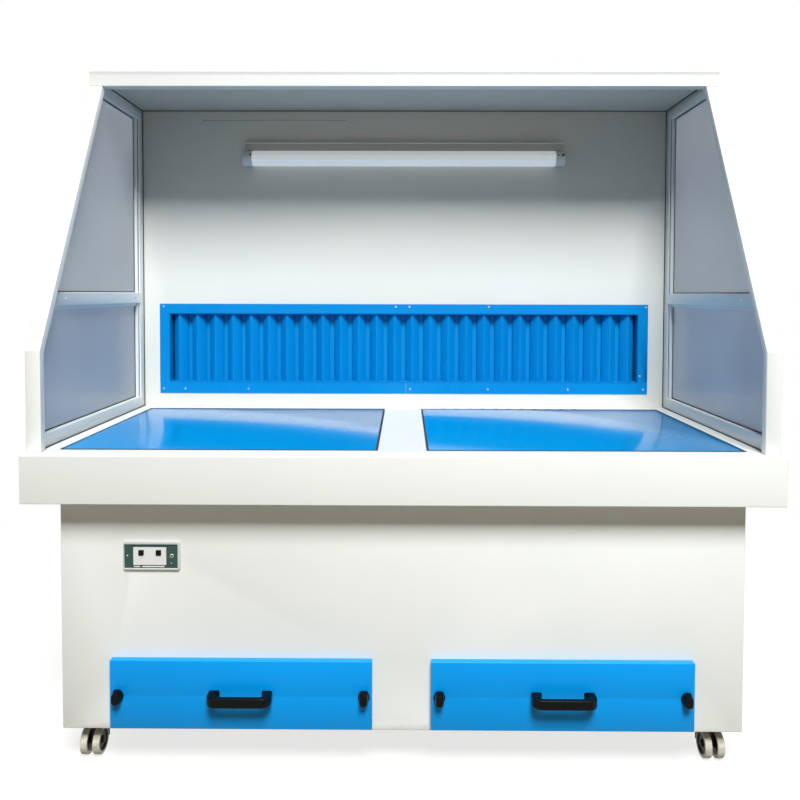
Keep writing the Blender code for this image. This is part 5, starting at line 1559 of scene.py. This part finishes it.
@dataclass
class Fan:
    """Impeller with curved blades, and its finned motor on a pedestal."""

    sheet: float = 0.003
    ring: float = 0.024
    blades: int = 12
    lean: float = math.radians(35)
    hub_radius: float = 0.024
    hub_length: float = 0.040
    bore: float = 0.0103
    fillet: float = 0.002
    chamfer: float = 0.001
    fins: int = 36
    fin_depth: float = 0.008
    cowl_length: float = 0.046
    flange: Steps = ((0.003, -0.016), (0, -0.013), (0, 0))
    shaft_radii: Spans = (0.010, 0.009)
    foot_length: float = 0.130
    foot_width: float = 0.110

    def build(self) -> None:
        """Make the impeller and the motor."""
        x_span, y_span, z_span = spans("fan_wheel")
        centre = (middle_of(y_span), middle_of(z_span))
        radius = (y_span[1] - y_span[0]) / 2
        self.add_wheel(x_span, centre, radius)
        self.add_motor(centre)

    def add_wheel(self, x_span: Spans, centre: tuple[float, float], radius: float) -> None:
        """Turn the disc, hub and front ring, and pull up leaning blades that curve as a quarter wave."""
        back, front = x_span
        face, end, hub, bore = back + self.sheet, back + self.hub_length, self.hub_radius, self.bore
        disc = [
            (bore, back), (radius, back), (radius, face), (hub + self.fillet, face),
            (hub, face + self.fillet), (hub, end - self.chamfer), (hub - self.chamfer, end), (bore, end),
        ]
        edge = radius - self.ring
        ring = [(edge, front - self.sheet), (radius, front - self.sheet), (radius, front), (edge, front)]
        shells = [turned(disc, Axis.X, centre, 72, ring=True), turned(ring, Axis.X, centre, 72, ring=True)]
        share = np.linspace(0, 1, 9)
        distance = radius - self.ring * 2 + share * (self.ring * 2 - self.sheet)
        for start in np.arange(self.blades) * math.tau / self.blades:
            angle = start + self.lean * np.sin(share * math.pi / 2)
            line = np.stack([distance * np.cos(angle), distance * np.sin(angle)], -1)
            across = np.gradient(line, axis=0)[:, ::-1] * (1, -1)
            across *= self.sheet / 2 / np.linalg.norm(across, axis=1, keepdims=True)
            outline = np.concatenate([line + across, (line - across)[::-1]]) + centre
            shells.append(pulled(outline, Axis.X, (back + self.sheet / 2, front - self.sheet / 2)))
        add_piece("fan_wheel_curved", joined(shells), Look.zinc, ("fan_wheel",), "impeller")

    def add_motor(self, centre: tuple[float, float]) -> None:
        """Pull a finned outline along the shaft, its radius less a square wave, between two round covers."""
        x_span, y_span, z_span = spans("fan_motor")
        rear, face = x_span[0], spans("fan_housing")[0][0] - PLAY
        radius = (y_span[1] - y_span[0]) / 2
        angle = np.linspace(0, math.tau, self.fins * 8, endpoint=False)
        wave = np.clip(np.sin(self.fins * angle) * 3, -1, 1)
        reach = radius - 0.001 - self.fin_depth * (0.5 - 0.5 * wave)
        outline = np.stack([centre[0] + reach * np.cos(angle), centre[1] + reach * np.sin(angle)], -1)
        shells = [pulled(outline, Axis.X, (rear + 0.045, face - 0.014))]
        cowl = [
            (0, rear), (radius * 0.62, rear), (radius - 0.010, rear + 0.004), (radius - 0.002, rear + 0.012),
            (radius, rear + 0.020), (radius, rear + self.cowl_length), (0, rear + self.cowl_length),
        ]
        flange = round_body(radius, face, self.flange)
        start, end = face - 0.002, x_span[1]
        thick, tip = self.shaft_radii
        shaft = [(0, start), (thick, start), (thick, end - self.chamfer), (tip, end), (0, end)]
        shells += [turned(cowl, Axis.X, centre, 64), turned(flange, Axis.X, centre, 64)]
        shells.append(turned(shaft, Axis.X, centre, 32))
        middle = (rear + face) / 2
        foot = rounded_box(
            around(middle, self.foot_length / 2), around(centre[0], self.foot_width / 2), 0.004
        )
        waist = outset(foot, -0.014)
        low, top = z_span[0], centre[1] - radius / 2
        levels = [(foot, low), (foot, low + 0.008), (waist, low + 0.012), (waist, top)]
        shells.append(stacked(levels, Axis.Z))
        add_piece("fan_motor_finned", joined(shells), Look.motor, ("fan_motor",))


@dataclass
class ExhaustGrille:
    """Grille over the fan's outlet in the rear wall: a mitred border, tilted slats and four screws."""

    border_width: float = 0.020
    slats: int = 4
    sheet: float = 0.002
    tilt: float = math.radians(40)
    screw: tuple[float, float] = (0.0035, 0.0018)
    screw_inset: float = 0.008
    screw_setback: float = 0.0055

    def build(self) -> None:
        """Make the border with its slats, and the screws."""
        x_span, y_span, z_span = spans("exhaust_grille")
        near, far = y_span
        wide = self.border_width + self.sheet
        window = ((x_span[0] + wide, x_span[1] - wide), (z_span[0] + wide, z_span[1] - wide))
        corners = [(0, near), (wide, near), (wide, near + 0.004), (0.004, far), (0, far)]
        section = rounded_corners(corners, [0.0002, 0.0002, 0.0012, 0.0015, 0.0008], 4)
        shells = [border(rectangle(*window), section, Axis.Y)]
        pitch = (window[1][1] - window[1][0]) / self.slats
        run = far - near - self.sheet
        drop = run * math.tan(self.tilt)
        for height in window[1][0] + pitch * (np.arange(self.slats) + 0.5):
            start, end = (near + 0.001, height + drop / 2), (far - 0.001, height - drop / 2)
            corners = [start, end, (end[0], end[1] + self.sheet), (start[0], start[1] + self.sheet)]
            outline = rounded_corners(corners, 0.0006, 3)
            shells.append(pulled(outline, Axis.X, (window[0][0] - 0.001, window[0][1] + 0.001)))
        add_piece("exhaust_grille_pressed", joined(shells), Look.white, ("exhaust_grille",))
        x_places = (x_span[0] + self.screw_inset, x_span[1] - self.screw_inset)
        z_places = (z_span[0] + self.screw_inset, z_span[1] - self.screw_inset)
        feet = [(x, near + self.screw_setback, z) for x in x_places for z in z_places]
        heads = [screw_head(foot, Axis.Y, 1, *self.screw) for foot in feet]
        add_piece("exhaust_grille_screws", joined(heads), Look.plated)


@dataclass
class Casters:
    """Twin-wheel swivel casters: bolted plate, black fork with a hood, and two cream treads on black hubs."""

    wheel_radius: float = 0.0375
    wheel_width: float = 0.0205
    web: float = 0.012
    gap: float = 0.001
    trail: float = 0.022
    head_radius: float = 0.022
    head_height: float = 0.009
    boss_radius: float = 0.012
    hood_gap: float = 0.002
    hood_sheet: float = 0.0025
    hood_angles: Spans = (math.radians(-14), math.radians(88))
    bolt_spacing: float = 0.055
    bolt: Steps = ((0, 0.0005), (0.0065, 0.0005), (0.0065, -0.0030), (0.0058, -0.0038), (0, -0.0038))
    axle: Steps = ((0, -0.0018), (0.0055, -0.0018), (0.0070, -0.0006), (0.0070, 0.0003), (0.004, 0.0003))
    tread_depth: float = 0.0085
    shoulder: float = 0.0030
    hub_bore: float = 0.0043
    hub_face: Steps = ((0.0004, -0.0012), (-0.0010, -0.0004), (-0.0030, -0.0008), (-0.0050, -0.0046))
    cup: Steps = ((0.0105, -0.0040), (0.0100, -0.0004))

    def build(self) -> None:
        """Make the four casters."""
        for row in ("front", "rear"):
            for side in Side:
                name = f"{row}_{side.word}"
                x_span, y_span, z_span = spans(f"caster_plate_{name}")
                centre = (middle_of(x_span), middle_of(y_span))
                self.add_plate(name, x_span, y_span, z_span)
                self.add_fork(name, centre)
                for wheel_side in Side:
                    self.add_wheel(f"{name}_{wheel_side.word}", centre, wheel_side)

    def add_plate(self, name: str, x_span: Spans, y_span: Spans, z_span: Spans) -> None:
        """Pull up a plate with round corners, and turn four hexagon bolt heads below it."""
        outline = rounded_box(x_span, y_span, 0.006, 6)
        node = f"caster_plate_{name}"
        add_piece(f"{node}_bolted", pulled(outline, Axis.Z, z_span), Look.black, (node,), soft_edge_mm=0.6)
        half = self.bolt_spacing / 2
        x, y = middle_of(x_span), middle_of(y_span)
        places = [(x + across, y + along) for across in (-half, half) for along in (-half, half)]
        bolts = [turned(shifted(self.bolt, z_span[0]), Axis.Z, place, 6) for place in places]
        add_piece(f"caster_bolts_{name}", joined(bolts), Look.plated)

    def add_fork(self, name: str, centre: tuple[float, float]) -> None:
        """Make the head, the web, the hood over the wheels' rear, and the axle with its caps."""
        node = f"caster_fork_{name}"
        x, y = centre
        top = spans(node)[2][1]
        low = top - self.head_height
        radius = self.head_radius
        head = [
            (0, top), (radius - 0.003, top), (radius - 0.003, top - 0.0015), (radius, top - 0.0020),
            (radius, low + 0.002), (radius - 0.002, low), (0, low),
        ]
        axle_y = y - self.trail
        angle = np.linspace(math.pi, math.tau, 13)
        boss_y = axle_y + self.boss_radius * np.cos(angle)
        boss = np.stack([boss_y, self.wheel_radius + self.boss_radius * np.sin(angle)], -1)
        web_top = low + self.head_height / 2
        web = np.concatenate([boss, [(y + radius / 2, web_top), (axle_y - self.boss_radius / 2, web_top)]])
        reach = self.web / 2 + self.gap + self.wheel_width
        hub = (axle_y, self.wheel_radius)
        axle = shifted(self.axle, x - reach)
        axle += [(thick, x + reach - along) for thick, along in reversed(self.axle)]
        shells = [
            turned(head, Axis.Z, centre, 40),
            pulled(web, Axis.X, around(x, self.web / 2)),
            self.hood(x, hub, reach),
            turned(axle, Axis.X, hub, 32),
        ]
        add_piece(f"{node}_moulded", joined(shells), Look.black, (node,), f"fork_{name}", 0.5)

    def hood(self, x: float, hub: tuple[float, float], reach: float) -> Shell:
        """Bend a sheet round the wheels: rings of a flat section at angles round the axle."""
        angle = np.linspace(*self.hood_angles, 17)
        inner = self.wheel_radius + self.hood_gap
        outer = inner + self.hood_sheet
        section = rounded_box((inner, outer), (x - reach, x + reach), 0.0010, 3)
        turn = angle[:, None]
        ring_y = hub[0] + section[:, 0] * np.cos(turn)
        ring_z = hub[1] + section[:, 0] * np.sin(turn)
        ring_x = np.broadcast_to(section[:, 1], ring_y.shape)
        return loft(np.stack([ring_x, ring_y, ring_z], -1))

    def add_wheel(self, place: str, centre: tuple[float, float], side: Side) -> None:
        """Turn the tread with round shoulders, and the black hub disc that it is cast on."""
        sign = side.value
        near = self.web / 2 + self.gap
        far = near + self.wheel_width
        radius = self.wheel_radius
        hub = (centre[1] - self.trail, radius)
        inner = radius - self.tread_depth
        corners = [(inner, near + 0.0010), (radius, near), (radius, far), (inner, far - 0.0010)]
        tread = rounded_corners(corners, [0.0004, self.shoulder, self.shoulder, 0.0004], 6)
        tread[:, 1] = centre[0] + sign * tread[:, 1]
        node = f"caster_wheel_{place}"
        body = f"wheel_{place}"
        add_piece(f"{node}_tread", turned(tread, Axis.X, hub, 64, ring=True), Look.tread, (node,), body)
        disc = [(self.hub_bore, near + 0.0004), (inner + 0.0004, near + 0.0014)]
        disc += [(inner + out, far + along) for out, along in self.hub_face]
        disc += [*shifted(self.cup, far), (self.hub_bore, far - 0.0004)]
        profile = [(reach, centre[0] + sign * along) for reach, along in disc]
        add_piece(f"wheel_hub_{place}", turned(profile, Axis.X, hub, 48, ring=True), Look.black, body=body)


@dataclass
class PlenumHousing:
    """Welded box that leads the air down behind the back wall: walls, a slotted floor and a flange."""

    sheet: float = 0.002
    flange: float = 0.020
    nip: float = HAIR
    slot_side_margin: float = 0.120
    slot_rear_margins: Spans = (0.074, 0.018)

    def build(self) -> None:
        """Make each wall as a sheet of its own, set back by a nip so that no two share a corner."""
        x_span, y_span, z_span = spans("rear_housing")
        side = x_span[1] - self.flange
        top = z_span[1] - self.flange
        near, far = y_span
        low, sheet = z_span[0], self.sheet
        nip = self.nip
        sheets = [
            ((-side, side), (far - sheet, far), (low, top)),
            ((-side + nip, -side + sheet), (near + nip, far - nip), (low + nip, top - nip)),
            ((side - sheet, side - nip), (near + nip, far - nip), (low + nip, top - nip)),
            (
                (-side + nip * 2, side - nip * 2),
                (near + nip * 2, far - nip * 2),
                (top - sheet, top - nip / 2),
            ),
            ((x_span[0], -side + nip * 3), (near, near + sheet), (low, top - nip * 3)),
            ((side - nip * 3, x_span[1]), (near, near + sheet), (low, top - nip * 3)),
            (x_span, (near, near + sheet), (top - nip * 4, z_span[1])),
        ]
        shells = [pulled(rectangle(first, third), Axis.Y, second) for first, second, third in sheets]
        hole = rectangle(*self.air_slot(x_span, far))
        outer = rectangle((-side + nip * 5, side - nip * 5), (near + nip * 5, far - nip * 5))
        rings = [(outer, low), (hole, low), (hole, low + sheet), (outer, low + sheet)]
        shells.append(stacked(rings, Axis.Z, looped=True))
        add_piece("rear_housing_welded", joined(shells), Look.white, ("rear_housing",), soft_edge_mm=0.6)

    def air_slot(self, x_span: Spans, rear: float) -> tuple[Spans, Spans]:
        """Spans of the slot in the floor, set in from the walls as in the worktop below."""
        across = (x_span[0] + self.slot_side_margin, x_span[1] - self.slot_side_margin)
        front_margin, rear_margin = self.slot_rear_margins
        return across, (rear - front_margin, rear - rear_margin)


@dataclass
class WallTrim:
    """Small things on the sheet steel: rear screws, a lapped edge, deck vents, seals and plate edging; the
    dark ones paint shade too.
    """

    vent_places: Spans = (0.149, 0.629)
    vents: int = 11
    vent_size: tuple[float, float] = (0.0080, 0.0026)
    vent_gap: float = 0.0050
    lap_span: Spans = (-0.745, -0.216)
    lap_height: float = 1.934
    top_screws: int = 9
    side_screws: int = 5
    screw_inset: float = 0.010
    flange_sheet: float = 0.002
    top_screw_margin: float = 0.06
    side_screw_margins: Spans = (0.04, 0.05)
    seal: float = 0.0026
    frame_face: float = 0.975
    frame_front: float = -0.43
    edging: tuple[float, float] = (0.0045, 0.0010)
    vent: Steps = ((0, -0.0010), (0, 0.0004), (0.0004, 0.0008))
    rivet: Steps = ((0, -0.0012), (0.0018, -0.0008), (0.0024, 0.0003), (0, 0.0003))
    seal_start: float = 0.045
    roof_lip: tuple[float, float] = (0.003, 0.008)

    def build(self) -> None:
        """Make the screws, the lapped edge, the seals, the fillet, the edging and the vents, the dark ones
        partly painted shade.
        """
        self.add_rear_screws()
        self.add_lapped_edge()
        self.add_seals()
        self.add_lip_filler()
        for side in Side:
            self.add_edging(side)
        deck = spans("worktop_frame")[2][1]
        plate_rear = spans("work_plate_right")[1][1]
        shells = []
        steps = shifted(self.vent, deck)
        for place in np.linspace(*self.vent_places, self.vents):
            shells.append(domed((place, plate_rear + self.vent_gap), self.vent_size, steps, Axis.Z, 3))
        # The vents are dark pads on the deck: the dark of vent slots is painted on as shade.
        add_piece("deck_vents", joined(shells), Look.rubber)

    def add_rear_screws(self) -> None:
        """Put screws along the plenum housing's side flanges and its top flange."""
        x_span, y_span, z_span = spans("rear_housing")
        face = y_span[0] + self.flange_sheet
        low, high = self.side_screw_margins
        feet = []
        for height in np.linspace(z_span[0] + low, z_span[1] - high, self.side_screws):
            feet += [(side.value * (x_span[1] - self.screw_inset), face, height) for side in Side]
        margin = self.top_screw_margin
        for place in np.linspace(x_span[0] + margin, x_span[1] - margin, self.top_screws):
            feet.append((place, face, z_span[1] - self.screw_inset))
        add_piece("plenum_screws", joined([screw_head(foot, Axis.Y, 1) for foot in feet]), Look.plated)

    def add_lapped_edge(self) -> None:
        """Lay the lapped sheet edge on the back wall, a dark strip below it that paints the lap's shadow, and
        its first rivet.
        """
        face = spans("back_panel")[1][0]
        lap = rounded_box((face - 0.0014, face + 0.0004), around(self.lap_height + 0.0018, 0.0014), 0.0005, 3)
        add_piece("wall_lap", pulled(lap, Axis.X, self.lap_span), Look.white)
        # The dark strip below the lap is painted shadow.
        joint = rounded_box((face - 0.0005, face + 0.0004), around(self.lap_height, 0.0007), 0.0002, 3)
        rivet = turned(shifted(self.rivet, face), Axis.Y, (self.lap_span[0], self.lap_height), 24)
        add_piece("wall_joint", joined([pulled(joint, Axis.X, self.lap_span), rivet]), Look.rubber)

    def add_seals(self) -> None:
        """Run black seal strips where the hood's sheets meet: ceiling, rear corners and deck; they also paint
        the shadow gaps at these joints.
        """
        wall = spans("back_panel")[1][0]
        ceiling_y, ceiling = spans("ceiling_liner")[1:]
        deck = spans("worktop_frame")[2][1]
        size, wide = self.seal, self.frame_face
        high = (ceiling[0] - size, ceiling[0] + HAIR)
        shells = [pulled(rounded_box((wall - size, wall + HAIR), high, 0.0008, 3), Axis.X, (-wide, wide))]
        for side in Side:
            x_span = side.across(wide - size, wide + HAIR)
            along_top = rounded_box(x_span, high, 0.0008, 3)
            shells.append(pulled(along_top, Axis.Y, (ceiling_y[0] + self.seal_start, wall - size)))
            foot = rounded_box(x_span, (deck - HAIR, deck + size), 0.0008, 3)
            shells.append(pulled(foot, Axis.Y, (self.frame_front, wall - size)))
            corner = rounded_box(x_span, (wall - size * 0.7, wall + HAIR), 0.0006, 3)
            shells.append(pulled(corner, Axis.Z, (deck + size, ceiling[0] - size)))
        # Seal strips that are partly painted shadow of the joints' gaps.
        add_piece("hood_seals", joined(shells), Look.rubber)

    def add_lip_filler(self) -> None:
        """Lay a slim fillet under the roof's lip, so that the lip runs out into the fascia."""
        x_span, y_span, z_span = spans("roof_cover")
        lip_reach, lip_height = self.roof_lip
        low = z_span[1] - lip_height
        face = y_span[0] + lip_reach
        corners = [(y_span[0] + 0.0004, low), (face, low), (face, low - lip_height)]
        add_piece("roof_lip_fillet", pulled(np.array(corners), Axis.X, x_span), Look.white)

    def add_edging(self, side: Side) -> None:
        """Carry a black rubber edging round the rim of a work plate; it also paints the shadow gap round the
        plate.
        """
        x_span, y_span, z_span = spans(f"work_plate_{side.word}")
        deck = spans("worktop_frame")[2][1]
        width, rise = self.edging
        section = rounded_box((-width, 0.0008), (deck + 0.0001, z_span[1] + rise), 0.0004, 3)
        rim = border(rectangle(x_span, y_span), section, Axis.Z)
        # Black edging, partly painted shadow of the gap round the plate.
        add_piece(f"plate_edging_{side.word}", rim, Look.rubber, body=f"plate_{side.word}")


def dress_rest(frame: dict) -> None:
    """Give every node that still shows its finish."""
    finishes = (Look.pane, Look.black, Look.white_plastic, Look.green, Look.tread, Look.zinc)
    finishes += (Look.paper, Look.motor, Look.white, Look.blue)
    by_slot = {finish.slot: finish for finish in finishes}
    for name, node in frame["nodes"].items():
        if node.hide_render:
            continue
        old = node.data.materials[0].name.split(".")[0] if node.data.materials else "white_coat"
        finish = by_slot.get(old, Look.white)
        node.data.materials.clear()
        node.data.materials.append(finish.material())
        logger.info("node %s as %s", name, finish.name)


def main() -> None:
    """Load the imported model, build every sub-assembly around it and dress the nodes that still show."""
    logging.basicConfig(level=logging.INFO, format="%(name)s: %(message)s")
    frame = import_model()
    Studio().build()
    SheetSteel(frame).build()
    assemblies = (
        Glazing(),
        Intake(),
        PlenumHousing(),
        BattenLight(),
        ControlPanel(),
        Filters(),
        Fan(),
        ExhaustGrille(),
        Casters(),
        WallTrim(),
    )
    for assembly in assemblies:
        assembly.build()
    for side in Side:
        DustDrawer(side).build()
    dress_rest(frame)


if __name__ == "__main__":
    main()
